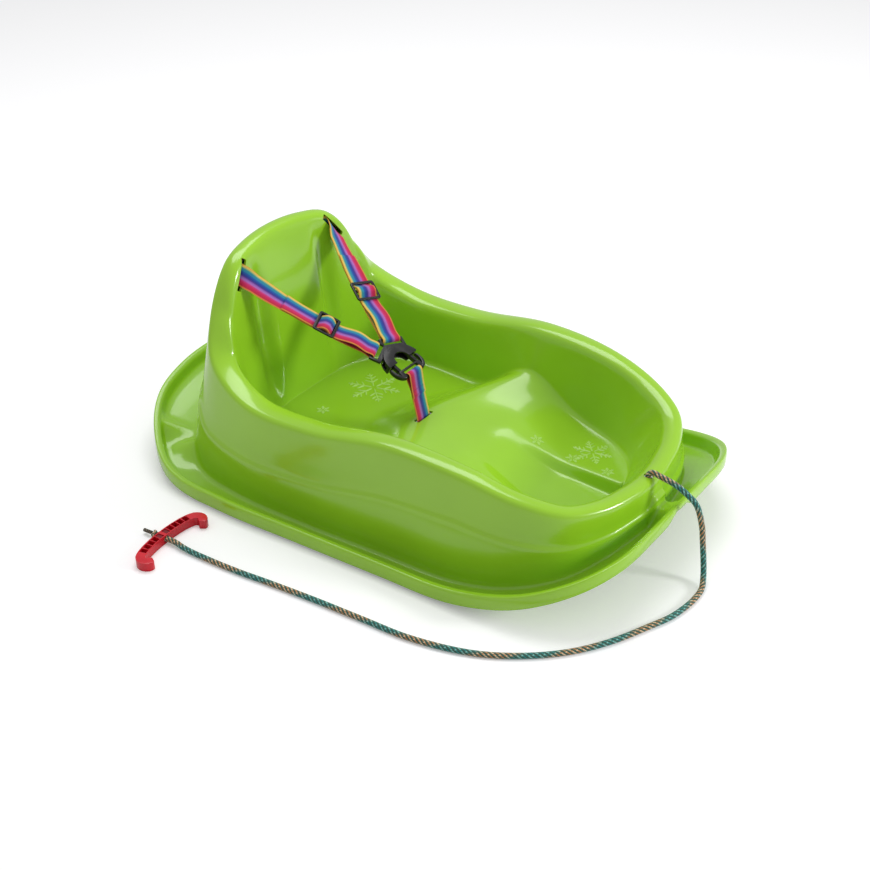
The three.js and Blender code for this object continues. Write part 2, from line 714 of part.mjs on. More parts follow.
function shoulderRoute(side, share) {
  const base = strapBase(side);
  const { start, long } = strapLine(side);
  const middle = long * share;
  const stitch = (s) => smooth(long - STITCHED / 2, long, s);
  const past = (s) => (s - middle - SLIDER_LONG / 2) / (long - middle - SLIDER_LONG / 2);
  const puff = (s) => BULGE * Math.sin(Math.PI * Math.max(past(s), 0)) ** 2;
  const station = (s, n) => {
    const f = base(s);
    return { at: f.at.addScaledVector(f.up, n), wide: f.wide.multiplyScalar(side) };
  };
  const upper = strapStops(long, middle, middle - SLIDER_LONG / 2 - TAIL_LONG).map(
    (s) => station(s, barLift(Math.abs(s - middle)) + lerp(LAYER, WRAP_R, stitch(s)) + puff(s)),
  );
  const turn = Array.from({ length: WRAP_STEPS - 1 }, (_, k) => Math.PI * (k + 1) / WRAP_STEPS).map(
    (a) => station(long + WRAP_R * Math.sin(a), WRAP_R * Math.cos(a)),
  );
  const lower = strapStops(long, middle, 0).reverse().map(
    (s) => station(s, barLift(Math.abs(s - middle)) - WRAP_R * stitch(s)),
  );
  const pass = PASS_SHARES.map(([back, out, up]) => ({
    at: new THREE.Vector3(start.x - back * PASS_DEEP, out * start.y, start.z + up * PASS_RISE),
    wide: slotEdge(side).multiplyScalar(side).lerp(new THREE.Vector3(0, 0, -1), back * back),
  }));
  return [...upper, ...turn, ...lower, ...pass];
}

function shoulderWebbing() {
  const left = shoulderRoute(1, SLIDER_LEFT_SHARE);
  const right = shoulderRoute(-1, SLIDER_RIGHT_SHARE).reverse();
  return ribbon([...left, ...right]);
}

function slider(side, share) {
  const base = strapBase(side);
  const middle = strapLine(side).long * share;
  const f = base(middle);
  const ahead = base(middle + SLIDER_LONG / 2).at;
  const behind = base(middle - SLIDER_LONG / 2).at;
  const x = ahead.clone().sub(behind).normalize();
  const y = f.up.clone().cross(x).normalize();
  const centre = ahead.add(behind).multiplyScalar(0.5).lerp(f.at, 0.5);
  const shape = roundedShape(SLIDER_LONG / 2, WEBBING_ROOM + SLIDER_RAIL, SLIDER_RAIL);
  const open = [SLIDER_BAR / 2, SLIDER_LONG / 2 - SLIDER_RAIL];
  const through = [SLIDER_BOTTOM - CUT, SLIDER_BOTTOM + CUT];
  const solid = carve([plate(shape, SLIDER_T, SLIDER_BOTTOM, 5)], [
    block(open, both(WEBBING_ROOM), through),
    block([-open[1], -open[0]], both(WEBBING_ROOM), through),
  ]);
  return solid.applyMatrix4(frameMatrix(centre, x, y, x.clone().cross(y)));
}

function lugBlocks(side) {
  const { line } = strapLine(side);
  const turn = Math.atan2(line.y, line.dot(BUCKLE_DOWN));
  const long = [-LUG_BAR / 2, LUG_SLOT + 2 * LUG_BAR];
  const lug = block(long, both(WEBBING_ROOM + LUG_RAIL), both(LUG_T / 2));
  const slot = block([LUG_BAR / 2, LUG_BAR / 2 + LUG_SLOT], both(WEBBING_ROOM), both(LUG_T));
  return [lug, slot].map((g) => g.rotateZ(turn).translate(LUG_D, side * LUG_Y, 0));
}

function buckleHousing() {
  const [lugLeft, slotLeft] = lugBlocks(1);
  const [lugRight, slotRight] = lugBlocks(-1);
  const disc = upright(HOUSING_R, HOUSING_T, ROUND_SIDES).translate(HOUSING_D, 0, 0);
  const half = carve([disc], [block([MOUTH_D, 2 * HOUSING_R], both(2 * HOUSING_R), both(HOUSING_T))]);
  const arch = upright(ARCH_R, 2 * HOUSING_T, ROUND_SIDES).translate(MOUTH_D, 0, 0);
  const solid = carve([half, lugLeft, lugRight], [
    slotLeft,
    slotRight,
    block([CAVITY_D, MOUTH_D + HOUSING_T], both(CAVITY_HALF), both(CAVITY_T / 2)),
    block([WINDOW_D, WINDOW_D + WINDOW_LONG], both(2 * HOUSING_R), both(CAVITY_T / 2)),
    arch,
  ]);
  return solid.applyMatrix4(BUCKLE_FRAME);
}

const PLUG_END = PLUG_D + PLUG_LONG;

function bucklePlug() {
  const shape = roundedShape(PLUG_LONG / 2, PLUG_HALF, PLUG_T / 2);
  const base = plate(shape, PLUG_T, -PLUG_T / 2, 4).translate(PLUG_D + PLUG_LONG / 2, 0, 0);
  const thinned = [PLUG_END - PLUG_BAR - CLEAR, PLUG_END + CUT];
  const solid = carve([base], [
    block([PLUG_D + PLUG_RAIL, PLUG_END - PLUG_BAR], both(WEBBING_ROOM), both(PLUG_T)),
    block(thinned, both(WEBBING_ROOM), [PLUG_BAR_T / 2, PLUG_T]),
    block(thinned, both(WEBBING_ROOM), [-PLUG_T, -PLUG_BAR_T / 2]),
  ]);
  return solid.applyMatrix4(BUCKLE_FRAME);
}

function plugArm(side) {
  const tip = CAVITY_D + ARM_ROOM;
  const head = WINDOW_D + WINDOW_LONG - ARM_ROOM;
  const root = PLUG_D - FACE_GAP;
  const points = [
    [root, ARM_HALF], [root, ARM_HALF + ARM_ROOT], [head, ARM_HALF + ARM_WIDE],
    [head, ARM_HALF + ARM_HEAD], [(tip + head) / 2, ARM_HALF + ARM_HEAD],
    [tip, ARM_HALF + ARM_WIDE], [tip, ARM_HALF],
  ];
  const shape = new THREE.Shape(points.map(([d, y]) => new THREE.Vector2(d, side * y)));
  const thick = CAVITY_T - 2 * ARM_ROOM;
  return plate(shape, thick, -thick / 2, 1).applyMatrix4(BUCKLE_FRAME);
}

// The crotch strap lies in the middle plane; arcs are given in X and Z.

function arcPoints(centre, radius, from, to, count) {
  return Array.from({ length: count + 1 }, (_, k) => radians(lerp(from, to, k / count))).map(
    (a) => [centre[0] + radius * Math.cos(a), centre[1] + radius * Math.sin(a)],
  );
}

const ANCHOR_WRAP = ANCHOR_R + CLEAR + WEBBING_T / 2;
const CROTCH_X = HUMP_X - CROTCH_BACK;
const ANCHOR_AT = [CROTCH_X + ANCHOR_WRAP, HUMP_Z - SHEET - ANCHOR_END_R - ANCHOR_GAP];

function crotchWebbing() {
  const bar = bucklePoint(PLUG_END - PLUG_BAR / 2, 0);
  const line = new THREE.Vector2(CROTCH_X - bar.x, HUMP_Z - bar.z);
  const far = line.length();
  const angle = THREE.MathUtils.radToDeg(line.angle());
  line.normalize();
  const at = (s, n) => [bar.x + line.x * s - line.y * n, bar.z + line.y * s + line.x * n];
  const points = [
    at(STITCHED + TACK, LAYER), at(STITCHED, LAYER), at(STITCHED / 2, (LAYER + WRAP_R) / 2),
    ...arcPoints([bar.x, bar.z], WRAP_R, angle + 90, angle + 270, 8),
    at(STITCHED / 2, -WRAP_R / 2), at(STITCHED, 0), at(far - WRAP_R, 0), [CROTCH_X, HUMP_Z - WEBBING_T],
    ...arcPoints(ANCHOR_AT, ANCHOR_WRAP, 180, CROTCH_TURN, 7),
  ];
  return ribbon(points.map(([x, z]) => ({ at: new THREE.Vector3(x, 0, z), wide: LEFT })));
}

function crotchAnchor() {
  const end = ANCHOR_LONG / 2;
  const profile = [
    [0, -end], [ANCHOR_END_R, -end], [ANCHOR_END_R, -WEBBING_ROOM], [ANCHOR_R, -WEBBING_ROOM],
    [ANCHOR_R, WEBBING_ROOM], [ANCHOR_END_R, WEBBING_ROOM], [ANCHOR_END_R, end], [0, end],
  ].map(([r, y]) => new THREE.Vector2(r, y));
  return new THREE.LatheGeometry(profile, ANCHOR_SIDES).translate(ANCHOR_AT[0], 0, ANCHOR_AT[1]);
}

// Rope, knots and handle.

function fromMouth(p) {
  return new THREE.Vector3(HOLE_X + p[0], p[1], RIM_FRONT_Z + p[2]);
}

function fromLip(p) {
  return new THREE.Vector3(HALF_LONG + p[0], p[1], p[2] ?? 0);
}

function tube(points, steps) {
  const path = new THREE.CatmullRomCurve3(points, false, 'centripetal');
  const corners = Array.from({ length: ROPE_SIDES }, (_, k) => 2 * Math.PI * k / ROPE_SIDES).map(
    (a) => new THREE.Vector2(ROPE_D / 2 * Math.cos(a), ROPE_D / 2 * Math.sin(a)),
  );
  const section = new THREE.Shape(corners);
  return new THREE.ExtrudeGeometry(section, { steps, bevelEnabled: false, extrudePath: path });
}

function knot(at, radii) {
  return new THREE.SphereGeometry(1, 12, 8).scale(...radii).translate(at.x, at.y, at.z);
}

function handleLine() {
  const half = HANDLE_SHARES.map(([a, b]) => [HANDLE_HALF * a, HANDLE_BOW * b]);
  return [...half.map(([a, b]) => [-a, b]), ...half.slice(0, -1).reverse()];
}

function handleShape() {
  const line = new THREE.CatmullRomCurve3(handleLine().map(([a, b]) => vec([b, a])), false, 'centripetal');
  const edges = { 1: [], [-1]: [] };
  for (let k = 0; k <= HANDLE_STEPS; k += 1) {
    const p = line.getPoint(k / HANDLE_STEPS);
    const t = line.getTangent(k / HANDLE_STEPS);
    const end = Math.min(k, HANDLE_STEPS - k) / 2;
    const half = HANDLE_WIDE / 2 * Math.sqrt(Math.min(end + HANDLE_END_SHARE, 1));
    for (const hand of [-1, 1]) {
      edges[hand].push(new THREE.Vector2(p.x + hand * t.y * half, p.y - hand * t.x * half));
    }
  }
  return new THREE.Shape([...edges[1], ...edges[-1].reverse()]);
}

function handlePocket(a) {
  const line = handleLine();
  const i = line.findIndex((p, k) => p[1] < 0 && a >= p[0] && a <= line[k + 1][0]);
  const [from, to] = [line[i], line[i + 1]];
  const b = lerp(from[1], to[1], (a - from[0]) / (to[0] - from[0]));
  const turn = Math.atan2(from[1] - to[1], to[0] - from[0]);
  const deep = [HANDLE_T - POCKET_DEEP, HANDLE_T + CUT];
  return block(both(POCKET_WIDE / 2), both(POCKET_LONG / 2), deep).rotateZ(turn).translate(b, a, 0);
}

function pullHandle() {
  const places = Array.from({ length: POCKET_COUNT }, (_, k) => POCKET_START + k * POCKET_PITCH);
  const pockets = places.flatMap((a) => [handlePocket(a), handlePocket(-a)]);
  const hole = upright(HANDLE_HOLE / 2, 4 * HANDLE_WIDE, HOLE_SIDES).rotateY(Math.PI / 2);
  hole.translate(0, 0, HANDLE_T / 2);
  const solid = carve([plate(handleShape(), HANDLE_T, 0, 1)], [...pockets, hole]);
  const at = fromLip(HANDLE_AT);
  return solid.rotateZ(radians(HANDLE_TURN)).translate(at.x, at.y, at.z);
}

function shoulderSlot(side) {
  const at = slotCentre(side);
  const cutter = block(both(CUT / 2), both(SLOT_WIDE / 2), both(SLOT_LONG / 2));
  return cutter.rotateX(side * radians(SLOT_TILT)).translate(at.x, at.y, at.z);
}

function hull() {
  const seatSlot = block(
    [CROTCH_X - CROTCH_SLOT_WIDE / 2, CROTCH_X + CROTCH_SLOT_WIDE / 2],
    both(WEBBING_W / 2 + SHEET),
    [HUMP_Z - CUT, HUMP_Z + CUT],
  );
  const ropeHole = upright(HOLE_D / 2, 3 * RIM_ROUND, HOLE_SIDES).translate(HOLE_X, 0, RIM_FRONT_Z);
  return carve([hullSheet()], [shoulderSlot(1), shoulderSlot(-1), seatSlot, ropeHole]);
}

function mesh(name, geometry, look) {
  const plain = geometry.index ? geometry.toNonIndexed() : geometry;
  plain.deleteAttribute('uv');
  plain.computeVertexNormals();
  const part = new THREE.Mesh(plain, new THREE.MeshStandardMaterial(look));
  part.name = name;
  return part;
}

const rope = tube([...MOUTH_ROUTE.map(fromMouth), ...GROUND_ROUTE.map(fromLip)], ROPE_STEPS);
const hullKnot = fromMouth([0, 0, RIM_ROUND / 6 - SHEET - HULL_KNOT_RS[2] - KNOT_GAP]);

const sled = new THREE.Group();
sled.name = 'baby_pull_sled';
sled.add(mesh('hull_shell', hull(), GREEN));
sled.add(mesh('shoulder_webbing', shoulderWebbing(), CLOTH));
sled.add(mesh('crotch_webbing', crotchWebbing(), CLOTH));
sled.add(mesh('crotch_anchor_bar', crotchAnchor(), BLACK));
sled.add(mesh('slider_left', slider(1, SLIDER_LEFT_SHARE), BLACK));
sled.add(mesh('slider_right', slider(-1, SLIDER_RIGHT_SHARE), BLACK));
sled.add(mesh('buckle_housing', buckleHousing(), BLACK));
sled.add(mesh('buckle_plug', bucklePlug(), BLACK));
sled.add(mesh('plug_arm_left', plugArm(1), BLACK));
sled.add(mesh('plug_arm_right', plugArm(-1), BLACK));
sled.add(mesh('pull_rope', rope, ROPE));
sled.add(mesh('rope_knot_hull', knot(hullKnot, HULL_KNOT_RS), ROPE));
sled.add(mesh('rope_knot_handle', knot(fromLip(STOP_KNOT), KNOT_RS), ROPE));
sled.add(mesh('rope_tail', tube(TAIL_ROUTE.map(fromLip), TAIL_STEPS), ROPE));
sled.add(mesh('pull_handle', pullHandle(), RED));

export default sled;
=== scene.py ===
import math

import bmesh
import bpy
import numpy as np
from mathutils import Matrix, Vector
from mathutils.bvhtree import BVHTree


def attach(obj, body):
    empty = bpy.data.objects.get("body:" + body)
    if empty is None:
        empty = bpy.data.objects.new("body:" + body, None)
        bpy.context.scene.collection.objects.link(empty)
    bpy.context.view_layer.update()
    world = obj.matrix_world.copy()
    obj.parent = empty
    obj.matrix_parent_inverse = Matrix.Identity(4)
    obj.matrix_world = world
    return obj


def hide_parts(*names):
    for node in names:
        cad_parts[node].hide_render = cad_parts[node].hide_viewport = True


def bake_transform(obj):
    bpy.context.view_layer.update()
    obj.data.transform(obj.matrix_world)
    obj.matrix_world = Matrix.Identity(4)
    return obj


# Baby pull sled. Sizes are in millimetres and turns in degrees, as in the solid model.
# Objects are made in metres.

MM = 0.001

# The hull's size and its outlines, from the rear end to the front end along one side.
# A point is a share of half the length and of half the width, and at the rim of the height too.

HULL_LONG = 721
HULL_WIDE = 480
RIM_HIGH = 273
HALF_LONG = HULL_LONG / 2
HALF_WIDE = HULL_WIDE / 2

LIP_SHARES = [
    [-1, 0], [-0.985, 0.317], [-0.932, 0.592], [-0.827, 0.8], [-0.66, 0.967], [-0.399, 1],
    [-0.075, 0.977], [0.258, 0.95], [0.566, 0.925], [0.779, 0.854], [0.924, 0.7], [0.99, 0.504],
    [0.999, 0.25], [0.999, 0.142], [1, 0.083], [1, 0.042], [1, 0],
]
BODY_SHARES = [
    [-0.788, 0], [-0.782, 0.258], [-0.766, 0.475], [-0.716, 0.642], [-0.616, 0.767], [-0.405, 0.825],
    [-0.114, 0.821], [0.191, 0.792], [0.46, 0.767], [0.666, 0.7], [0.807, 0.567], [0.874, 0.371],
    [0.904, 0.175], [0.91, 0.121], [0.912, 0.075], [0.913, 0.04], [0.913, 0],
]
RIM_SHARES = [
    [-0.705, 0, 1], [-0.693, 0.217, 0.989], [-0.669, 0.396, 0.949], [-0.644, 0.562, 0.769],
    [-0.577, 0.692, 0.601], [-0.394, 0.775, 0.491], [-0.117, 0.783, 0.487], [0.189, 0.758, 0.553],
    [0.455, 0.733, 0.538], [0.652, 0.679, 0.48], [0.793, 0.558, 0.43], [0.865, 0.362, 0.403],
    [0.895, 0.167, 0.394], [0.9, 0.117, 0.392], [0.902, 0.075, 0.391], [0.904, 0.04, 0.39],
    [0.904, 0, 0.39],
]
FLOOR_SHARES = [
    [-0.546, 0], [-0.544, 0.188], [-0.53, 0.35], [-0.494, 0.487], [-0.416, 0.567], [-0.269, 0.6],
    [-0.061, 0.588], [0.18, 0.571], [0.405, 0.554], [0.552, 0.5], [0.655, 0.408], [0.71, 0.283],
    [0.73, 0.125], [0.734, 0.083], [0.736, 0.052], [0.736, 0.027], [0.736, 0],
]

# Steps between two outline points, how much finer they are here, and the trough bed's two rings.

SEGMENT_STEPS = [3, 3, 3, 3, 3, 3, 3, 3, 3, 3, 3, 2, 1, 1, 1, 1]
FINE = 3
BED_RINGS = (9, 10)

# The sheet, its turned lip, the trough and its rise to both ends.

SHEET = 3
LIP_HEIGHT = 22.6
SKIRT_GAP = 3
LIP_WIDTH = 10
LIP_ROUND = 2.5
LIP_DRAFT = 1.4
TROUGH_ROUND = 4.5
WALL_ROUND = 7
FRONT_RISE = 70
FRONT_RISE_SHARES = (0.404, 0.619)
REAR_RISE = 50
REAR_RISE_SHARES = (-0.498, 0.491)
REAR_STEP = 9
REAR_CREST = 4
REAR_STEP_SHARES = (-0.571, -0.644)
REAR_SIDE_SHARES = (0.7, 0.783)
BRIDGE_SHARES = (0.86, 0.888)
BRIDGE_DROP = 1
BRIDGE_HALF = 10
BRIDGE_SIDE = 10
NOTCH_HIGH = 12
NOTCH_HALF = 8
NOTCH_SIDE = 26
KEEL = 4
KEEL_HALF = 10
KEEL_SIDE = 10

# The crease around the wall and the rolled rim; the last share holds to the front end.

CREASE_SHARES = [0.36, 0.36, 0.37, 0.38, 0.4, 0.43, 0.47, 0.55, 0.6, 0.56, 0.5, 0.46, 0.44]
CREASE_STEP = 3.5
CREASE_BAND = 4
WALL_SHARES = (0.3, 0.6, 0.85)
RIM_ROUND = 9
RIM_WIDTH = 36
RIM_WIDTH_SHARES = [0.67, 0.67, 0.67, 0.75, 0.92, 1, 0.94, 0.86, 0.81, 0.75, 0.72]

# The tub: the backrest's panel and folds, the seat, the hump, the shelf and the foot well.

PANEL_BULGE = 8
PANEL_HALF = 44
PANEL_SHARES = (-0.51, -0.427)
FOLD_WIDE = 20
FOLD_DEPTH = 8
FOLD_SPAN = 40
SEAT_Z = 45
HUMP_Z = 70
HUMP_X = -0.008 * HALF_LONG
HUMP_HALF = 137
HUMP_SIDE_RISE = 24
HUMP_SWEEP = 68
HUMP_RAMP = 82
HUMP_POWER = 1.6
SHELF_Z = 46
SHELF_RAMP = 80
SHELF_SHARES = (0.208, 0.513)
WELL_DEEP = 17
WELL_START = 32
WELL_END_SHARE = 0.72
WELL_RUN_SHARES = (0.166, 0.61)
WELL_HALVES = (12, 38)
WELL_SIDES = (38, 9.5)
SWEEP_SHARES = (-0.4, 0.613)
SPINE_SHARES = (-0.455, 0.71)
OUTER_ROW_SHARES = [0.88, 0.74, 0.6, 0.45, 0.3, 0.15]
SIDE_ROW_SHARES = [1, 0.84, 0.68, 0.5, 0.32, 0.16, 0]
MIDDLE_ROW_SHARES = [0.72, 0.45, 0.22]
INNER_REACH_SHARE = 0.82
INNER_WALL_SHARES = [0.15, 0.3, 0.46, 0.62, 0.75, 0.84, 0.9]
CORNER_SHARES = (0.25, 0.5, 0.75)

# Openings cut through the sheet.

SLOT_SHARES = (-0.607, 0.371, 0.894)
SLOT_TILT = 37
SLOT_BOX = (16, 7.5, 40)
CROTCH_X = HUMP_X - 2.5
CROTCH_BOX = (8, 32, 32)
HOLE_X = 314.932
HOLE_D = 11
HOLE_CUT = 40
CUT_ROUND = 1.5

# The harness: webbing, buckle, shoulder straps, length sliders and crotch strap.

WEBBING_W = 26
WEBBING_T = 1.2
EDGE_THIN = 0.4
LAYER = 1.9
CLEAR = 0.5
BUCKLE_AT = np.array([-0.132 * HALF_LONG, 0, 0.524 * RIM_HIGH])
BUCKLE_TILT = math.radians(25)
BUCKLE_DOWN = np.array([math.cos(BUCKLE_TILT), 0, -math.sin(BUCKLE_TILT)])
BUCKLE_UP = np.array([math.sin(BUCKLE_TILT), 0, math.cos(BUCKLE_TILT)])
LEFT = np.array([0.0, 1, 0])
LUG_D = -24
LUG_Y = 17
WRAP_R = 3.8
WRAP_STEPS = 9
PLUG_BAR_D = 29.95
STRAP_SAG = 6
SLOT_LEAD = 6
TWIST_SHARES = (0.09, 0.42)
TWIST_PART_SHARE = 0.45
FLAT_SHARES = (0.8, 0.93)
PASS_DEEP = 21
PASS_RISE = 3.5
PASS_SHARES = [
    (0.165, 1.022, 0.74), (0.32, 1.03, 1), (0.5, 1.015, 1), (0.62, 0.96, 1),
    (0.7, 0.87, 1), (0.83, 0.68, 1), (0.94, 0.45, 1), (1, 0.213, 1),
]
SLIDER_SHARES = {1: 0.55, -1: 0.62}
SLIDER_LONG = 29.2
SLIDER_RAIL = 3.4
SLIDER_BAR = 4
SLIDER_T = 2.4
SLIDER_ROOM = 1.2
SLIDER_NEAR = SLIDER_BAR / 2 + SLIDER_ROOM
SLIDER_FAR = SLIDER_LONG / 2 - SLIDER_RAIL - SLIDER_ROOM
TAIL_LONG = 44
BULGE = 5
STITCHED = 20
TACK = 11.4
ANCHOR_WRAP = 4.1
ANCHOR_Z = 61.2
CROTCH_TURN = 340
STITCH_ROWS = (STITCHED + 1.5, STITCHED + TACK - 2.5)
STITCH_COUNT = 7
STITCH_REACH = 9.6
STITCH_HALF = 1.2
STITCH_THICK = 0.3
STITCH_TIP = 0.05
CLAW_ROUTE = [
    (31, 15.5), (30.4, 18.6), (28.6, 21.6), (25.6, 24), (21.6, 25.6), (17.4, 26.3), (13.6, 26), (10.9, 25),
]
CLAW_HALF_WIDE = 2.3
CLAW_HALF_HIGH = 3.1
CLAW_SQUARE = 0.6
CLAW_SWELL = ((0, 0.06, 0.5, 0.92, 1), (0.6, 1, 1.1, 0.8, 0.35))

# The pull rope, its knots and its tail. A knot's tilt is in radians.

ROPE_D = 7
ROPE_ROUTE = [
    [314.6, 0, 104.5], [314.6, 0, 106.5], [315.8, 0, 109.6], [319.3, 0, 112.3], [323.5, 0, 112.5],
    [329.5, 0, 111.3], [341.9, 0, 109.4], [354.9, 0, 105.7], [366.9, -0.2, 99.6], [377.9, -0.5, 91.6],
    [388, -1.5, 68], [392.5, -3.5, 48], [397, -6, 27], [403, -14, 10], [409.5, -30, 4.2],
    [411, -48, 3.7], [410, -64.5, 3.6], [404, -94, 3.6], [392.5, -121.5, 3.6], [369.5, -170, 3.6],
    [342, -209.5, 3.6], [303.5, -245, 3.6], [256, -273, 3.6], [188, -292, 3.6], [124, -297.5, 3.6],
    [60.5, -302.5, 3.6], [-0.5, -309, 3.6], [-45, -314.5, 3.6], [-83.2, -317.5, 3.7],
    [-117, -319.2, 4.2], [-129.5, -319.2, 5.2], [-140.5, -318.1, 5.8], [-165.7, -319.6, 5.8],
]
TAIL_ROUTE = [[-177.9, -320.4, 5.8], [-184.5, -320.8, 5.4], [-190.5, -320.6, 4.8]]
TAIL_D = 4.6
HULL_KNOT_AT = (314.93, 0, 97.57)
HANDLE_KNOT_AT = (-172, -320, 5.8)
KNOT_FLAT = 2.2
KNOT_OPEN = 0.1
KNOT_POINTS = 48
ROPE_TURN = 88
ROPE_SWAY = 0.12
STRAND_RELIEF = 0.14
STRAND_GROOVE = (0.3, 0.85)

# Frost stars on the tub's floor: the place of the middle, the radius, and the turn in radians.

FROST_STARS = [
    (-126, 52, 37, 0.3), (-146, -32, 9.5, 0.2), (195.1, 85, 26, 0.2),
    (181.8, 59, 9.5, 0.5), (232, 58.5, 9, 0.1), (132, 54, 9, 0.4),
]
FROST_LARGE_FROM = 20
FROST_LARGE = (2.4, 0.9)
FROST_SMALL = (1.5, 0.6)
FROST_CORE = 0.1
FROST_BRANCHES = ((0.38, 0.3), (0.62, 0.24), (0.82, 0.14))
FROST_BRANCH_TURN = math.pi / 3.4
FROST_SECTION = ((-1, -0.25), (-0.62, 0.7), (0, 1), (0.62, 0.7), (1, -0.25))
FROST_STEP = 1.6
RAY_FROM = 300

# The handle and its cells, each a place along the handle and a depth.

HANDLE_AT = (-149.5, -318.6)
HANDLE_TURN = 3.5
HANDLE_HALF = 52
HANDLE_BOW = 24
HANDLE_SHARES = [
    (0.846, 0.542), (0.962, 0.396), (1, 0.146), (0.942, -0.104), (0.808, -0.25),
    (0.615, -0.354), (0.327, -0.438), (0, -0.458),
]
HANDLE_T = 11.6
HANDLE_CELLS = [
    (hand * a, deep)
    for hand in (-1, 1)
    for a, deep in ((5.6, 1.4), (13.5, 8), (21.5, 8), (29.5, 8), (37.5, 8))
]
CELL_ACROSS = 9.2
CELL_ALONG = 6.9
CELL_REACH = 4.9
CELL_DEPTHS = (2, HANDLE_T - 0.6)

# Angles: edges stay sharp from the first three, fittings are rounded from one and flat below one.

HULL_SHARP = 50
WEBBING_SHARP = 70
FITTING_SHARP = 42
FITTING_ROUNDED = 32
FITTING_FLAT = 1.5

# Black fittings: name, solid, body and rounding. Points of a solid that are this close are joined.

JOINED = 0.02
FITTINGS = [
    ("buckle_body", "buckle_housing", "sled", 1.1), ("buckle_bar", "buckle_plug", "plug", 0.6),
    ("arm_left", "plug_arm_left", "left_arm", 0.9), ("arm_right", "plug_arm_right", "right_arm", 0.9),
    ("glide_left", "slider_left", "left_slider", 1.0),
    ("glide_right", "slider_right", "right_slider", 1.0),
]

# Colours.

HULL_GREEN = (0.295, 0.57, 0.02)
FROST_GREEN = (0.42, 0.7, 0.12)
HANDLE_RED = (0.62, 0.006, 0.02)
# The cells' floors are a darker red: painted shade in the handle's pockets.
CELL_SHADE_RED = (0.2, 0.002, 0.01)
BLACK = (0.006, 0.006, 0.007)
THREAD_PURPLE = (0.1, 0.03, 0.14)
ROPE_TEAL = (0.02, 0.25, 0.23)
ROPE_TAN = (0.5, 0.25, 0.1)
ROPE_GREEN = (0.025, 0.1, 0.07)
# The colour in the grooves between strands: painted shade.
ROPE_GROOVE_SHADE = (0.003, 0.015, 0.014)
PALE_TEAL = (0.2, 0.5, 0.44)
PALE_TAN = (0.72, 0.52, 0.32)
STRIPES = [
    (0.0, (0.75, 0.36, 0.04)), (0.08, (0.75, 0.55, 0.12)), (0.13, (0.3, 0.42, 0.2)),
    (0.17, (0.03, 0.27, 0.3)), (0.27, (0.025, 0.22, 0.38)), (0.32, (0.015, 0.09, 0.36)),
    (0.43, (0.025, 0.04, 0.27)), (0.49, (0.09, 0.035, 0.25)), (0.55, (0.27, 0.11, 0.44)),
    (0.63, (0.38, 0.15, 0.46)), (0.68, (0.55, 0.05, 0.24)), (0.76, (0.55, 0.018, 0.1)),
    (0.91, (0.48, 0.012, 0.05)), (0.97, (0.66, 0.22, 0.05)), (1.0, (0.66, 0.25, 0.05)),
]

# The camera, in metres from the sled's origin, and the frame in pixels; the light around the sled.

CAMERA_TURN = 35.4686
CAMERA_TILT = 34.3631
CAMERA_FAR = 1.8234
CAMERA_AIM = (0.0185, 0, 0)
FOCAL_PIXELS = 1408.78
FRAME_PIXELS = 870
MIDDLE_PIXEL = (438.83, 467.75)
SKY_LIGHT = 0.55
SKY_SEEN = 1.0
FLOOR_SIZE = 30
FLOOR_WHITE = (0.86, 0.86, 0.87)
FLOOR_GLOW = 0.22


def smooth(a, b, x):
    t = np.clip((np.asarray(x, float) - a) / (b - a), 0, 1)
    return t * t * (3 - 2 * t)


def lerp(a, b, t):
    return a + (b - a) * t


def along(shares, x):
    return smooth(shares[0] * HALF_LONG, shares[1] * HALF_LONG, x)


def within(half, side, y):
    return 1 - smooth(half, half + side, np.abs(y))


def unit(v):
    v = np.asarray(v, float)
    return v / np.linalg.norm(v)


def units(rows):
    return rows / np.linalg.norm(rows, axis=1, keepdims=True)


def distances(points):
    return np.concatenate([[0], np.cumsum(np.linalg.norm(np.diff(points, axis=0), axis=1))])


def points_at(places, far, points):
    return np.stack([np.interp(places, far, points[:, k]) for k in range(3)], 1)


def full_turn(count):
    return np.linspace(0, 2 * math.pi, count, endpoint=False)


def show(thing):
    bpy.context.scene.collection.objects.link(thing)


# Materials, from their nodes: a value that is another node's output becomes a link.

def new_material(name, colour, roughness, more=None):
    material = bpy.data.materials.new(name)
    material.use_nodes = True
    shader = material.node_tree.nodes["Principled BSDF"]
    shader.inputs["Base Color"].default_value = (*colour, 1)
    shader.inputs["Roughness"].default_value = roughness
    for key, value in (more or {}).items():
        shader.inputs[key].default_value = value
    return material, material.node_tree, shader


def feed(tree, node, key, value):
    if isinstance(value, bpy.types.NodeSocket):
        tree.links.new(value, node.inputs[key])
    else:
        node.inputs[key].default_value = value


def add_node(tree, kind, values=None, **settings):
    node = tree.nodes.new(kind)
    for key, value in settings.items():
        setattr(node, key, value)
    for key, value in (values or {}).items():
        feed(tree, node, key, value)
    return node


def maths(tree, operation, *values):
    node = add_node(tree, "ShaderNodeMath", dict(enumerate(values)), operation=operation)
    return node.outputs["Value"]


def object_place(tree):
    return add_node(tree, "ShaderNodeTexCoord").outputs["Object"]


def noise(tree, place, scale, detail=2.0):
    node = add_node(tree, "ShaderNodeTexNoise", {"Vector": place, "Scale": scale, "Detail": detail})
    return node.outputs["Fac"]


def ranged(tree, value, low, high, first=0.0, last=1.0):
    node = add_node(tree, "ShaderNodeMapRange", {
        "Value": value, "From Min": first, "From Max": last, "To Min": low, "To Max": high})
    return node.outputs["Result"]


def tint(tree, shader, colour, amount):
    node = add_node(tree, "ShaderNodeVectorMath", {0: colour, "Scale": amount}, operation="SCALE")
    feed(tree, shader, "Base Color", node.outputs["Vector"])


def relief(tree, height, strength, distance, under=None):
    values = {"Height": height, "Strength": strength, "Distance": distance}
    if under is not None:
        values["Normal"] = under
    return add_node(tree, "ShaderNodeBump", values).outputs["Normal"]


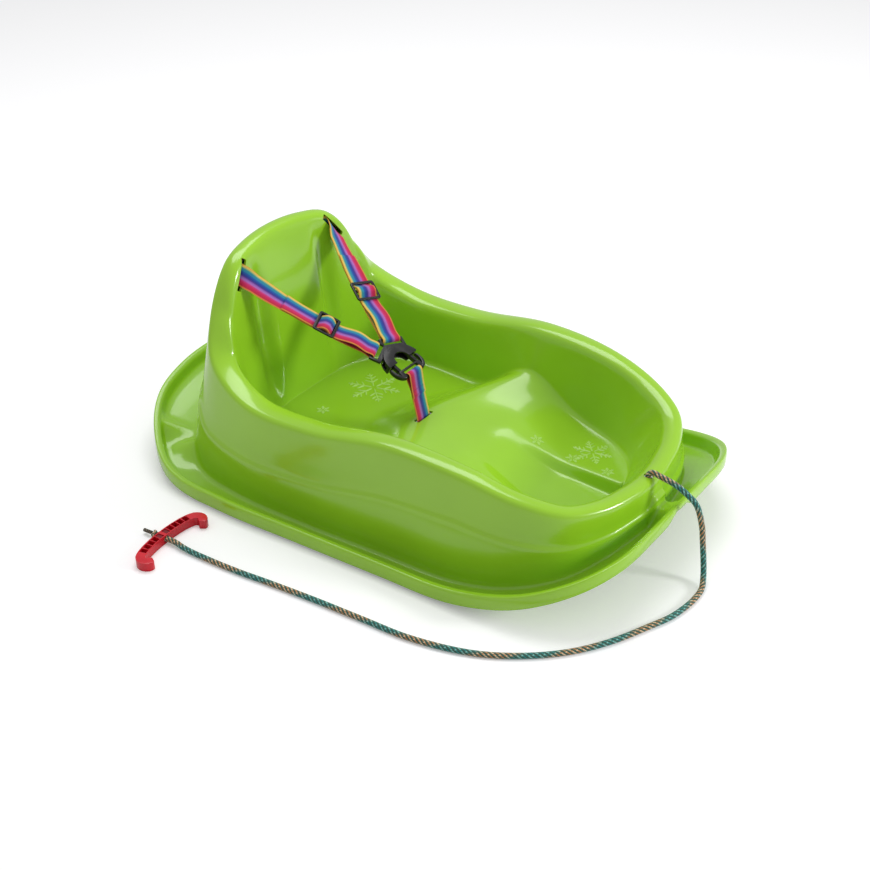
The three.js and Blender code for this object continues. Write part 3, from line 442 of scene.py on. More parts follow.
def green_plastic(name, colour, smoothest, roughest):
    material, tree, shader = new_material(name, colour, roughest, {
        "IOR": 1.5, "Coat Weight": 0.35, "Coat Roughness": 0.06})
    place = object_place(tree)
    ripple = noise(tree, place, 26.0)
    cloud = noise(tree, place, 9.0, 3.0)
    waves = relief(tree, ripple, 0.12, 0.002)
    feed(tree, shader, "Normal", relief(tree, noise(tree, place, 900.0), 0.05, 0.0002, waves))
    feed(tree, shader, "Roughness", ranged(tree, ripple, smoothest, roughest))
    tint(tree, shader, colour, ranged(tree, cloud, 0.9, 1.1))
    return material


def moulded(name, colour, rough, grain, depth):
    material, tree, shader = new_material(name, colour, rough)
    place = object_place(tree)
    broad = noise(tree, place, 60.0)
    feed(tree, shader, "Roughness", ranged(tree, broad, rough * 0.75, rough * 1.25))
    tint(tree, shader, colour, ranged(tree, broad, 0.8, 1.2))
    feed(tree, shader, "Normal", relief(tree, noise(tree, place, grain, 3.0), depth, 0.0002))
    return material


def yarn_material():
    material, tree, shader = new_material("rope_yarn", ROPE_GREEN, 0.75, {"Sheen Weight": 0.25})
    yarn = add_node(tree, "ShaderNodeVertexColor", layer_name="yarn").outputs["Color"]
    fibre = noise(tree, object_place(tree), 2200.0, 3.0)
    tint(tree, shader, yarn, ranged(tree, fibre, 0.6, 1.4))
    feed(tree, shader, "Normal", relief(tree, fibre, 0.4, 0.0003))
    return material


def stripe_colours(tree, across):
    ramp = add_node(tree, "ShaderNodeValToRGB", {"Fac": across})
    stops = ramp.color_ramp.elements
    while len(stops) < len(STRIPES):
        stops.new(0.5)
    for stop, (at, colour) in zip(stops, STRIPES):
        stop.position = at
        stop.color = (*colour, 1)
    return ramp.outputs["Color"]


def thread_wave(tree, place, count, shift):
    return maths(tree, "SINE", maths(tree, "MULTIPLY_ADD", place, count * 2 * math.pi, shift))


def webbing_material():
    material, tree, shader = new_material("striped_webbing", (0.3, 0.1, 0.4), 0.8, {
        "Sheen Weight": 0.2, "Sheen Roughness": 0.4, "Specular IOR Level": 0.25})
    cloth = add_node(tree, "ShaderNodeUVMap", uv_map="cloth").outputs["UV"]
    parts = add_node(tree, "ShaderNodeSeparateXYZ", {"Vector": cloth}).outputs
    warp = thread_wave(tree, parts["X"], 18, 0.0)
    weft = thread_wave(tree, parts["Y"], 11, 0.7)
    weave = maths(tree, "MULTIPLY", warp, weft)
    cloth_height = maths(tree, "MULTIPLY_ADD", weave, 0.35, noise(tree, cloth, 140.0, 4.0))
    shade = ranged(tree, cloth_height, 0.6, 1.25, 0.1, 0.9)
    tint(tree, shader, stripe_colours(tree, parts["X"]), shade)
    feed(tree, shader, "Normal", relief(tree, cloth_height, 0.5, 0.0004))
    return material


def thread_material():
    material, tree, shader = new_material("thread", THREAD_PURPLE, 0.7)
    twist = add_node(tree, "ShaderNodeTexNoise", {"Scale": 3000.0}).outputs["Fac"]
    feed(tree, shader, "Normal", relief(tree, twist, 0.4, 0.0002))
    return material


# Camera and light.

def add_camera():
    turn, tilt = math.radians(CAMERA_TURN), math.radians(CAMERA_TILT)
    back = Vector((math.sin(turn) * math.cos(tilt), -math.cos(turn) * math.cos(tilt), math.sin(tilt)))
    data = bpy.data.cameras.new("camera")
    data.sensor_width = 36
    data.lens = FOCAL_PIXELS / FRAME_PIXELS * data.sensor_width
    data.shift_x = (FRAME_PIXELS / 2 - MIDDLE_PIXEL[0]) / FRAME_PIXELS
    data.shift_y = (MIDDLE_PIXEL[1] - FRAME_PIXELS / 2) / FRAME_PIXELS
    camera = bpy.data.objects.new("camera", data)
    camera.location = Vector(CAMERA_AIM) + back * CAMERA_FAR
    camera.rotation_euler = back.to_track_quat("Z", "Y").to_euler()
    show(camera)
    bpy.context.scene.camera = camera


def add_lamp(name, place, aim, size, watts):
    data = bpy.data.lights.new(name, "AREA")
    data.shape = "RECTANGLE"
    data.size, data.size_y = size
    data.energy = watts
    lamp = bpy.data.objects.new(name, data)
    lamp.location = place
    lamp.rotation_euler = (Vector(place) - Vector(aim)).to_track_quat("Z", "Y").to_euler()
    show(lamp)


def camera_ray(tree):
    return add_node(tree, "ShaderNodeLightPath").outputs["Is Camera Ray"]


def add_sky():
    world = bpy.data.worlds.new("studio")
    world.use_nodes = True
    bpy.context.scene.world = world
    tree = world.node_tree
    sky = tree.nodes["Background"]
    sky.inputs["Color"].default_value = (1, 1, 1, 1)
    feed(tree, sky, "Strength", ranged(tree, camera_ray(tree), SKY_LIGHT, SKY_SEEN))


def add_floor():
    material, tree, shader = new_material("floor_white", FLOOR_WHITE, 0.6, {
        "Emission Color": (1, 1, 1, 1), "Specular IOR Level": 0})
    feed(tree, shader, "Emission Strength", maths(tree, "MULTIPLY", camera_ray(tree), FLOOR_GLOW))
    bpy.ops.mesh.primitive_plane_add(size=FLOOR_SIZE)
    floor = bpy.context.object
    floor.name = "floor"
    floor.data.materials.append(material)


# Meshes.

def make_object(name, points, faces):
    mesh = bpy.data.meshes.new(name)
    mesh.from_pydata([tuple(p) for p in points], [], [tuple(f) for f in faces])
    mesh.update()
    mesh.polygons.foreach_set("use_smooth", [True] * len(mesh.polygons))
    piece = bpy.data.objects.new(name, mesh)
    show(piece)
    return piece


def outward(piece):
    cells = bmesh.new()
    cells.from_mesh(piece.data)
    bmesh.ops.recalc_face_normals(cells, faces=cells.faces)
    cells.to_mesh(piece.data)
    cells.free()


def apply_modifiers(piece):
    graph = bpy.context.evaluated_depsgraph_get()
    mesh = bpy.data.meshes.new_from_object(piece.evaluated_get(graph))
    piece.modifiers.clear()
    piece.data = mesh
    return piece


def shade_smooth(piece, sharp_from):
    piece.data.polygons.foreach_set("use_smooth", [True] * len(piece.data.polygons))
    piece.data.set_sharp_from_angle(angle=math.radians(sharp_from))


def cut_out(piece, cutter):
    cut = piece.modifiers.new("cut", "BOOLEAN")
    cut.operation = "DIFFERENCE"
    cut.solver = "EXACT"
    cut.object = cutter
    apply_modifiers(piece)
    bpy.data.objects.remove(cutter)


def dress(piece, body, material):
    piece.data.materials.clear()
    piece.data.materials.append(material)
    if body:
        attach(piece, body)


def settle(piece, node, body, material):
    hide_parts(node)
    dress(piece, body, material)
    return piece


def ring_faces(rows, around):
    faces = []
    for r in range(rows - 1):
        for k in range(around):
            j = (k + 1) % around
            faces.append((r * around + k, r * around + j, (r + 1) * around + j, (r + 1) * around + k))
    return faces


def tube_faces(rows, around):
    first, last = range(around), range((rows - 1) * around, rows * around)
    return ring_faces(rows, around) + [tuple(first)[::-1], tuple(last)]


# A smooth curve through the points. The first and last only steer it; spot 0 is the second point.

def curve_point(points, spot):
    low = min(int(math.floor(spot + 1e-9)), len(points) - 4)
    part = spot - low
    p = points[low:low + 4]
    gap = [max(float(np.sum((p[k + 1] - p[k]) ** 2)) ** 0.25, 1e-4) for k in range(3)]
    t1 = (p[1] - p[0]) / gap[0] - (p[2] - p[0]) / (gap[0] + gap[1]) + (p[2] - p[1]) / gap[1]
    t2 = (p[2] - p[1]) / gap[1] - (p[3] - p[1]) / (gap[1] + gap[2]) + (p[3] - p[2]) / gap[2]
    t1, t2 = t1 * gap[1], t2 * gap[1]
    c2 = -3 * p[1] + 3 * p[2] - 2 * t1 - t2
    c3 = 2 * p[1] - 2 * p[2] + t1 + t2
    return p[1] + t1 * part + c2 * part ** 2 + c3 * part ** 3


# The hull sheet: rings of points from the lip, over the rim and down into the tub.
# A ring runs from the rear end along the near side to the front end, and back along the far side.

SEGMENTS = 2 * len(SEGMENT_STEPS)


def station_places():
    half = []
    for i, steps in enumerate(SEGMENT_STEPS):
        half += [i + k / (steps * FINE) for k in range(steps * FINE)]
    return half + [len(SEGMENT_STEPS)] + [SEGMENTS - s for s in half[:0:-1]]


PLACES = station_places()
AROUND = len(PLACES)


def sample_loop(shares):
    size = np.array([HALF_LONG, -HALF_WIDE, RIM_HIGH])
    near = [np.array((*share, 0.0)[:3]) * size for share in shares]
    loop = near + [p * (1, -1, 1) for p in near[-2:0:-1]]
    points = loop[-1:] + loop + loop[:2]
    return np.array([curve_point(points, spot) for spot in PLACES])


def sample_values(values):
    at = [min(s, SEGMENTS - s) for s in PLACES]
    return np.interp(at, range(len(values)), values)


def inward_normals(loop):
    ahead, behind = np.roll(loop, -1, 0), np.roll(loop, 1, 0)
    n = np.stack([behind[:, 1] - ahead[:, 1], ahead[:, 0] - behind[:, 0], np.zeros(AROUND)], 1)
    return units(n)


def rise(x):
    front, front_run = (share * HALF_LONG for share in FRONT_RISE_SHARES)
    rear, rear_run = (share * HALF_LONG for share in REAR_RISE_SHARES)
    ahead = np.maximum(x - front, 0) / front_run
    behind = np.maximum(rear - x, 0) / rear_run
    return FRONT_RISE * ahead ** 2 + REAR_RISE * behind ** 2


def flange_step(p):
    inner, outer = (share * HALF_WIDE for share in REAR_SIDE_SHARES)
    x, y = p[:, 0], np.abs(p[:, 1])
    middle = within(inner, outer - inner, y)
    crest = smooth(inner - REAR_STEP, inner, y) * middle
    rear = along(REAR_STEP_SHARES, x) * (REAR_STEP * middle + 2 * REAR_CREST * crest)
    bridge = along(BRIDGE_SHARES, x) * within(BRIDGE_HALF, BRIDGE_SIDE, y)
    return rear + (LIP_HEIGHT - SHEET - BRIDGE_DROP) * bridge


def moved(loop, normals, inward, height):
    q = loop + normals * np.reshape(inward, (-1, 1))
    q[:, 2] = height(q)
    return q


def flange_rings():
    lip = sample_loop(LIP_SHARES)
    lip_in = inward_normals(lip)
    base = sample_loop(BODY_SHARES)
    base_in = inward_normals(base)
    out = KEEL * along(BRIDGE_SHARES, base[:, 0]) * within(KEEL_HALF, KEEL_SIDE, base[:, 1])

    def top(q):
        return rise(q[:, 0]) + LIP_HEIGHT

    def bed(q):
        return rise(q[:, 0]) + SHEET + flange_step(q)

    def level(drop):
        return lambda q: np.minimum(np.maximum(top(q) - drop, bed(q)), top(q))

    def trough(lift):
        return lambda q: np.maximum(bed(q), np.minimum(bed(q) + lift, top(q) - LIP_ROUND))

    def skirt(q):
        notch = NOTCH_HIGH * along(BRIDGE_SHARES, q[:, 0]) * within(NOTCH_HALF, NOTCH_SIDE, q[:, 1])
        return rise(q[:, 0]) + SKIRT_GAP + notch

    lip_steps = [
        (0, skirt),
        (LIP_DRAFT / 3, lambda q: top(q) - LIP_ROUND * 1.4),
        (LIP_ROUND * 0.5, lambda q: top(q) - LIP_ROUND * 0.2),
        (LIP_ROUND * 1.3, top),
        (LIP_WIDTH - LIP_ROUND * 1.3, top),
        (LIP_WIDTH - LIP_ROUND * 0.4, level(LIP_ROUND * 0.25)),
        (LIP_WIDTH, level(LIP_ROUND * 1.3)),
        (LIP_WIDTH + LIP_DRAFT, trough(TROUGH_ROUND)),
        (LIP_WIDTH + 2 * LIP_DRAFT, trough(TROUGH_ROUND / 3)),
        (LIP_WIDTH + TROUGH_ROUND + LIP_DRAFT, bed),
    ]
    base_steps = [
        (-WALL_ROUND - out, bed),
        (-WALL_ROUND / 3 - out, lambda q: bed(q) + WALL_ROUND / 4),
        (-out, lambda q: bed(q) + WALL_ROUND),
    ]
    rings = [moved(lip, lip_in, inward, height) for inward, height in lip_steps]
    return rings + [moved(base, base_in, inward, height) for inward, height in base_steps]


def wall_rings(foot, rim, rim_in):
    crease = sample_values(CREASE_SHARES)
    height = rim[:, 2] - RIM_ROUND - foot[:, 2]
    band = CREASE_BAND / height

    def at(share, out):
        t = share.reshape(-1, 1)
        q = foot + (rim - foot) * t - rim_in * out
        q[:, 2] = foot[:, 2] + height * share
        return q

    below = [
        at(crease * 0.5, CREASE_STEP * 0.5),
        at(crease - band, CREASE_STEP),
        at(crease, CREASE_STEP - 1),
        at(crease + band / 2, 0),
    ]
    return below + [at(lerp(crease, 1, share), 0) for share in WALL_SHARES]


def rim_rings(rim, rim_in):
    wide = sample_values(RIM_WIDTH_SHARES) * RIM_WIDTH
    steps = [
        (0, -RIM_ROUND), (RIM_ROUND / 9, -RIM_ROUND / 2.6), (RIM_ROUND / 2, 0),
        (wide - RIM_WIDTH / 3, RIM_ROUND / 6), (wide - RIM_ROUND / 2, -RIM_ROUND / 9),
        (wide - RIM_ROUND / 9, -RIM_ROUND / 2), (wide + RIM_ROUND / 6, -RIM_ROUND * 1.2),
    ]
    return [moved(rim, rim_in, d, lambda q, h=h: rim[:, 2] + h) for d, h in steps]


def floor_height(x, y):
    side = np.abs(y)
    out = np.minimum(side / HUMP_HALF, 1)
    crest_x = HUMP_X + HUMP_SWEEP * out ** HUMP_POWER
    crest_z = HUMP_Z + HUMP_SIDE_RISE * out * out
    seat = lerp(SEAT_Z, crest_z, smooth(crest_x - HUMP_RAMP, crest_x, x))
    shelf = lerp(HUMP_Z, SHELF_Z, along(SHELF_SHARES, x))
    shoulder = (crest_z - HUMP_Z) * (1 - smooth(crest_x, crest_x + SHELF_RAMP, x))
    run = along(WELL_RUN_SHARES, x)
    down = smooth(crest_x + WELL_START, WELL_END_SHARE * HALF_LONG, x)
    well = WELL_DEEP * down * within(lerp(*WELL_HALVES, run), lerp(*WELL_SIDES, run), side)
    return np.where(x < crest_x, seat, shelf + shoulder - well)


def floor_row_shares(x, reach):
    run = along(WELL_RUN_SHARES, x)
    half, sideways = lerp(*WELL_HALVES, run), lerp(*WELL_SIDES, run)
    full = np.maximum(reach, SHEET)
    scale = np.minimum(full * INNER_REACH_SHARE / (half + sideways), 1)
    rows = [lerp((half + sideways) * scale, full, s) for s in OUTER_ROW_SHARES]
    rows += [(half + sideways * s) * scale for s in SIDE_ROW_SHARES]
    rows += [half * s * scale for s in MIDDLE_ROW_SHARES]
    return [y / full for y in rows]


def inner_wall_rings(edge, outline):
    rings = []
    for share in INNER_WALL_SHARES:
        q = lerp(edge, outline, share)
        panel = within(PANEL_HALF, FOLD_WIDE, q[:, 1])
        fold = (1 - panel) * within(PANEL_HALF + FOLD_SPAN - FOLD_WIDE, FOLD_WIDE, q[:, 1])
        rear = 1 - along(PANEL_SHARES, q[:, 0])
        q[:, 0] += (PANEL_BULGE * panel - FOLD_DEPTH * fold) * rear * math.sin(math.pi * share)
        rings.append(q)
    return rings


def floor_rings(outline):
    crest_end = HUMP_X + HUMP_SWEEP
    x, reach = outline[:, 0], np.abs(outline[:, 1])
    spine = np.clip(x, SPINE_SHARES[0] * HALF_LONG, SPINE_SHARES[1] * HALF_LONG)
    rear, front = (share * HALF_LONG for share in SWEEP_SHARES)
    sweep = smooth(rear, crest_end, x) * smooth(front, crest_end, x)
    rings = []
    for share in floor_row_shares(x, reach):
        at_x = lerp(spine, x, share) - HUMP_SWEEP * sweep * (1 - share ** HUMP_POWER)
        at_y = outline[:, 1] * share
        rings.append(np.stack([at_x, at_y, floor_height(at_x, at_y)], 1))
    return rings


def hull_rings():
    flange = flange_rings()
    rim = sample_loop(RIM_SHARES)
    rim_in = inward_normals(rim)
    crown = rim_rings(rim, rim_in)
    outline = sample_loop(FLOOR_SHARES)
    outline[:, 2] = floor_height(outline[:, 0], outline[:, 1])
    walls = wall_rings(flange[-1], rim, rim_in)
    tub, ground = inner_wall_rings(crown[-1], outline), floor_rings(outline)
    corner = [
        (1 - t) ** 2 * tub[-1] + 2 * t * (1 - t) * outline + t ** 2 * ground[0] for t in CORNER_SHARES
    ]
    return flange + walls + crown + tub + corner + ground


def hull_faces(rows):
    faces = ring_faces(rows, AROUND)
    last = (rows - 1) * AROUND
    for i in range(AROUND // 2):
        far, nearer = (AROUND - i) % AROUND, AROUND - i - 1
        face = (last + i, last + i + 1, last + nearer, last + far)
        faces.append(tuple(dict.fromkeys(face)))
    return faces


def vertex_normals(points, faces):
    normals = np.zeros_like(points)
    for face in faces:
        p = points[list(face)]
        normals[list(face)] += sum(np.cross(p[k] - p[0], p[k + 1] - p[0]) for k in range(1, len(p) - 1))
    return units(normals)


def box_cutter(centre, size, turn=0.0):
    bpy.ops.mesh.primitive_cube_add(size=1, location=[c * MM for c in centre], rotation=(turn, 0, 0))
    cutter = bpy.context.object
    cutter.scale = [s * MM for s in size]
    bpy.ops.object.transform_apply(location=True, rotation=True, scale=True)
    edge = cutter.modifiers.new("round", "BEVEL")
    edge.width = CUT_ROUND * MM
    edge.segments = 3
    return apply_modifiers(cutter)


def slot_centre(side):
    x, y, z = SLOT_SHARES
    return np.array([x * HALF_LONG, side * y * HALF_WIDE, z * RIM_HIGH])


def hull_cutters():
    cutters = [box_cutter(slot_centre(side), SLOT_BOX, side * math.radians(SLOT_TILT)) for side in (-1, 1)]
    cutters.append(box_cutter((CROTCH_X, 0, HUMP_Z), CROTCH_BOX))
    bpy.ops.mesh.primitive_cylinder_add(
        vertices=48, radius=HOLE_D / 2 * MM, depth=HOLE_CUT * MM,
        location=(HOLE_X * MM, 0, RIM_SHARES[-1][2] * RIM_HIGH * MM))
    cutters.append(bpy.context.object)
    return cutters


def hull_sheet():
    rings = hull_rings()
    top = np.concatenate(rings)
    faces = hull_faces(len(rings))
    under = top - vertex_normals(top, faces) * SHEET
    for ring in BED_RINGS:
        part = slice(ring * AROUND, (ring + 1) * AROUND)
        under[part] = top[part] - (0, 0, SHEET)
    count = len(top)
    back = [tuple(i + count for i in reversed(face)) for face in faces]
    edge = [(i, i + count, (i + 1) % AROUND + count, (i + 1) % AROUND) for i in range(AROUND)]
    piece = make_object("hull", np.concatenate([top, under]) * MM, faces + back + edge)
    outward(piece)
    return piece


def build_hull():
    piece = hull_sheet()
    finer = piece.modifiers.new("finer", "SUBSURF")
    finer.levels = 1
    apply_modifiers(piece)
    for cutter in hull_cutters():
        cut_out(piece, cutter)
    shade_smooth(piece, HULL_SHARP)
    green = green_plastic("green_plastic", HULL_GREEN, smoothest=0.17, roughest=0.26)
    return settle(piece, "hull_shell", "sled", green)


# The pull rope.

def resample(points, gap):
    steered = [2 * points[0] - points[1], *points, 2 * points[-1] - points[-2]]
    spots = np.linspace(0, 1, 60 * len(points)) * (len(points) - 1)
    fine = np.array([curve_point(steered, spot) for spot in spots])
    far = distances(fine)
    count = max(int(round(far[-1] / gap)), 2)
    return points_at(np.linspace(0, far[-1], count + 1), far, fine), far[-1]


# Two directions across a line at each point, carried along it without a twist.

def frames_along(line):
    tangents = units(np.gradient(line, axis=0))
    side = np.cross(tangents[0], (0, 1, 0))
    if np.linalg.norm(side) < 0.1:
        side = np.cross(tangents[0], (0, 0, 1))
    sides = []
    for t in tangents:
        side = unit(side - t * np.dot(side, t))
        sides.append(side)
    sides = np.array(sides)
    return sides, np.cross(tangents, sides)


# Strands cross over and under; each is round across, and its colour is kept with its points.

def braid(name, route, thick=ROPE_D, gap=0.6, around=40, strands=8, cell=3.0, shade=1.0):
    line, long = resample([np.array(p, float) for p in route], gap)
    side, up = frames_along(line)
    s = np.linspace(0, long, len(line)).reshape(-1, 1)
    a = full_turn(around).reshape(1, -1)
    turn = a / (2 * math.pi) * strands
    u, v = turn + s / cell, turn - s / cell
    over = (np.floor(u) + np.floor(v)) % 2 < 1
    upper = np.where(over, u, v)
    height = np.sqrt(np.clip(1 - (2 * (upper % 1) - 1) ** 2, 0, 1))
    radius = thick / 2 * (1 - STRAND_RELIEF + STRAND_RELIEF * height)
    cos, sin = np.cos(a)[..., None], np.sin(a)[..., None]
    points = line[:, None, :] + radius[..., None] * (cos * side[:, None, :] + sin * up[:, None, :])
    piece = make_object(name, points.reshape(-1, 3) * MM, tube_faces(len(line), around))
    outward(piece)
    colours = rope_colours(s / ROPE_TURN + ROPE_SWAY * np.sin(a), height, upper // 1 % 4)
    colours[..., :3] *= shade
    layer = piece.data.color_attributes.new("yarn", "FLOAT_COLOR", "POINT")
    layer.data.foreach_set("color", colours.reshape(-1).astype(np.float32))
    return piece, line, long


def rope_colours(phase, height, strand):
    warm = smooth(-0.5, 0.5, np.sin(2 * math.pi * phase))[..., None]
    strand = strand[..., None]
    main = lerp(np.array(ROPE_TEAL), np.array(ROPE_TAN), warm)
    pale = lerp(np.array(PALE_TEAL), np.array(PALE_TAN), warm)
    yarn = np.where(strand == 1, main, np.where(strand == 3, pale, np.array(ROPE_GREEN)))
    # Each strand darkens towards its edges, into the grooves: painted shade.
    colour = lerp(np.array(ROPE_GROOVE_SHADE), yarn, smooth(*STRAND_GROOVE, height)[..., None])
    return np.concatenate([colour, np.ones(colour.shape[:2] + (1,))], 2)


def build_rope(material):
    rope, line, long = braid("rope", ROPE_ROUTE)
    settle(rope, "pull_rope", "sled", material)


def knot(name, node, centre, size, thick, tip, material):
    t = np.linspace(KNOT_OPEN, 2 * math.pi - KNOT_OPEN, KNOT_POINTS)
    x, y = np.sin(t) + 2 * np.sin(2 * t), np.cos(t) - 2 * np.cos(2 * t)
    loop = np.stack([x, y, -KNOT_FLAT * np.sin(3 * t)], 1)
    turn = np.array(Matrix.Rotation(tip[0], 3, "X") @ Matrix.Rotation(tip[1], 3, "Y"))
    route = np.array(centre) + (loop * size / 3) @ turn.T
    piece, _, _ = braid(name, route, thick, gap=0.7, around=20, strands=4)
    settle(piece, node, "sled", material)


def build_rope_ends(material):
    knot("knot_under_rim", "rope_knot_hull", HULL_KNOT_AT, 4.6, 4.6, (0.2, 0.1), material)
    knot("knot_behind_handle", "rope_knot_handle", HANDLE_KNOT_AT, 3.6, 3.8, (0.3, 1.3), material)
    tail, _, _ = braid("rope_end", TAIL_ROUTE, TAIL_D, gap=0.5, around=32, cell=2.0, shade=0.3)
    settle(tail, "rope_tail", "sled", material)


# Webbing: stations run along the strap, each a point and the direction of its red edge.

def buckle_point(d, y):
    return BUCKLE_AT + BUCKLE_DOWN * d + LEFT * y


def slot_edge(side):
    tilt = math.radians(SLOT_TILT)
    return np.array([0, math.sin(tilt), -side * math.cos(tilt)])


def strap_line(side):
    end = buckle_point(LUG_D, side * LUG_Y)
    line = unit(end - slot_centre(side))
    start = slot_centre(side) + line * SLOT_LEAD
    return start, line, float(np.linalg.norm(end - start))


def strap_frames(side):
    start, line, long = strap_line(side)
    end = buckle_point(LUG_D, side * LUG_Y)

    def across(v):
        return unit(v - line * np.dot(v, line))

    flat = unit(line - BUCKLE_UP * np.dot(line, BUCKLE_UP))
    top, on_edge = across(BUCKLE_UP), np.cross(line, across(slot_edge(side)))

    def frame_at(s):
        share = s / long
        turned = 1 - smooth(0, TWIST_SHARES[0], share)
        rest = TWIST_PART_SHARE * (1 - smooth(*TWIST_SHARES, share))
        up = unit(lerp(top, on_edge, max(turned, rest)))
        taut = start + line * s - np.array([0, 0, 4 * STRAP_SAG * share * (1 - share)])
        mix = smooth(*FLAT_SHARES, share)
        ahead = unit(lerp(line, flat, mix))
        wide = unit(np.cross(unit(lerp(up, BUCKLE_UP, mix)), ahead))
        return lerp(taut, end + flat * (s - long), mix), unit(np.cross(ahead, wide)), wide

    return frame_at


def strap_stops(long, middle, start):
    clear = SLIDER_LONG / 2 + SLIDER_RAIL
    places = (SLIDER_NEAR, SLIDER_FAR, SLIDER_FAR + SLIDER_RAIL)
    stops = [middle + hand * d for d in places for hand in (-1, 1)]
    stops += [s for s in np.linspace(start, long, 30) if abs(s - middle) > clear]
    return sorted(s for s in stops if s >= start)


def nearest(values, target):
    return int(np.argmin(np.abs(np.array(values) - target)))


# From the strap's free end over the slider, round the buckle's lug, back and through the hull's slot.
# The cuts are the stations in the slider's middle, where one piece ends and the next starts.

def shoulder_route(side):
    frame_at = strap_frames(side)
    start, _, long = strap_line(side)
    middle = long * SLIDER_SHARES[side]
    high = SLIDER_T + 2 * CLEAR + LAYER + WEBBING_T

    def lift(s):
        return high * np.clip((SLIDER_FAR - abs(s - middle)) / (SLIDER_FAR - SLIDER_NEAR), 0, 1)

    def stitch(s):
        return smooth(long - STITCHED / 2, long, s)

    def puff(s):
        past = (s - middle - SLIDER_LONG / 2) / (long - middle - SLIDER_LONG / 2)
        return BULGE * math.sin(math.pi * max(past, 0)) ** 2

    def station(s, n):
        at, up, wide = frame_at(s)
        return at + up * n, wide * side

    upper = strap_stops(long, middle, middle - SLIDER_LONG / 2 - TAIL_LONG)
    lower = strap_stops(long, middle, 0)[::-1]
    route = [station(s, lift(s) + lerp(LAYER, WRAP_R, stitch(s)) + puff(s)) for s in upper]
    for a in np.linspace(0, math.pi, WRAP_STEPS)[1:-1]:
        route.append(station(long + WRAP_R * math.sin(a), WRAP_R * math.cos(a)))
    cuts = [nearest(upper, middle), len(route) + nearest(lower, middle)]
    route += [station(s, lift(s) - WRAP_R * stitch(s)) for s in lower]
    for back, out, up in PASS_SHARES:
        at = np.array([start[0] - back * PASS_DEEP, out * start[1], start[2] + up * PASS_RISE])
        route.append((at, lerp(slot_edge(side) * side, np.array([0, 0, -1.0]), back * back)))
    return route, cuts


def even_stations(stations, gap):
    at, wide = (np.array([s[k] for s in stations]) for k in (0, 1))
    far = distances(at)
    s = np.linspace(0, far[-1], int(far[-1] / gap) + 1)
    at, wide = points_at(s, far, at), points_at(s, far, wide)
    for _ in range(3):
        for v in (at, wide):
            v[1:-1] = (v[:-2] + 2 * v[1:-1] + v[2:]) / 4
    ahead = units(np.gradient(at, axis=0))
    wide = units(wide - ahead * np.sum(wide * ahead, axis=1, keepdims=True))
    return s, far, at, wide, np.cross(ahead, wide)


def ribbon_piece(name, points, w, s):
    piece = make_object(name, points.reshape(-1, 3) * MM, tube_faces(len(s), len(w)))
    outward(piece)
    shade_smooth(piece, WEBBING_SHARP)
    across, ahead = np.broadcast_arrays((w + 1)[None, :] / 2, (s / WEBBING_W)[:, None])
    spot = np.stack([across, ahead], 2).reshape(-1, 2)
    corners = np.empty(len(piece.data.loops), int)
    piece.data.loops.foreach_get("vertex_index", corners)
    layer = piece.data.uv_layers.new(name="cloth")
    layer.data.foreach_set("uv", spot[corners].astype(np.float32).reshape(-1))
    return piece


# One strap, cut into a piece for each name.

def ribbon(names, stations, cuts=(), gap=1.2, columns=14):
    s, far, at, wide, up = even_stations(stations, gap)
    w = np.linspace(-1, 1, columns + 1)
    thick = WEBBING_T / 2 * (1 - EDGE_THIN * np.abs(w) ** 8)
    w, thick = np.concatenate([w, w[::-1]]), np.concatenate([thick, -thick[::-1]])
    points = at[:, None] + wide[:, None] * (w * WEBBING_W / 2)[:, None] + up[:, None] * thick[:, None]
    ends = [0] + [int(round(far[c] / s[1])) for c in cuts] + [len(s) - 1]
    return [
        ribbon_piece(name, points[first:last + 1], w, s[first:last + 1])
        for name, first, last in zip(names, ends, ends[1:])
    ]


def arc(centre, radius, start, end, count):
    return [
        (centre[0] + radius * math.cos(a), centre[1] + radius * math.sin(a))
        for a in np.radians(np.linspace(start, end, count))
    ]


def crotch_route():
    bar = buckle_point(PLUG_BAR_D, 0)[[0, 2]]
    far = np.array([CROTCH_X, HUMP_Z]) - bar
    long, angle = float(np.linalg.norm(far)), math.degrees(math.atan2(far[1], far[0]))
    ahead = far / long
    side = np.array([-ahead[1], ahead[0]])

    def at(s, n):
        return bar + ahead * s + side * n

    points = [at(STITCHED + TACK, LAYER), at(STITCHED, LAYER), at(STITCHED / 2, (LAYER + WRAP_R) / 2)]
    points += arc(bar, WRAP_R, angle + 90, angle + 270, 13)
    points += [at(STITCHED / 2, -WRAP_R / 2), at(STITCHED, 0), at(long - WRAP_R, 0)]
    points.append((CROTCH_X, HUMP_Z - WEBBING_T))
    points += arc((CROTCH_X + ANCHOR_WRAP, ANCHOR_Z), ANCHOR_WRAP, 180, CROTCH_TURN, 11)
    return [(np.array([x, 0, z]), -LEFT) for x, z in points]


def stitches(name, path, material):
    rows, around = 7, 6
    points, faces = [], []
    for centre, ahead, up in path:
        side = np.cross(up, ahead)
        faces += [tuple(len(points) + i for i in face) for face in tube_faces(rows, around)]
        for k in range(rows):
            t = k / (rows - 1) * math.pi
            at = centre + ahead * (-STITCH_HALF * math.cos(t))
            swell = STITCH_THICK * math.sin(t) + STITCH_TIP
            for a in full_turn(around):
                points.append(at + (side * math.cos(a) + up * math.sin(a)) * swell)
    piece = make_object(name, np.array(points) * MM, faces)
    outward(piece)
    dress(piece, None, material)
    return piece


def blend_strap(piece):
    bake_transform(piece)


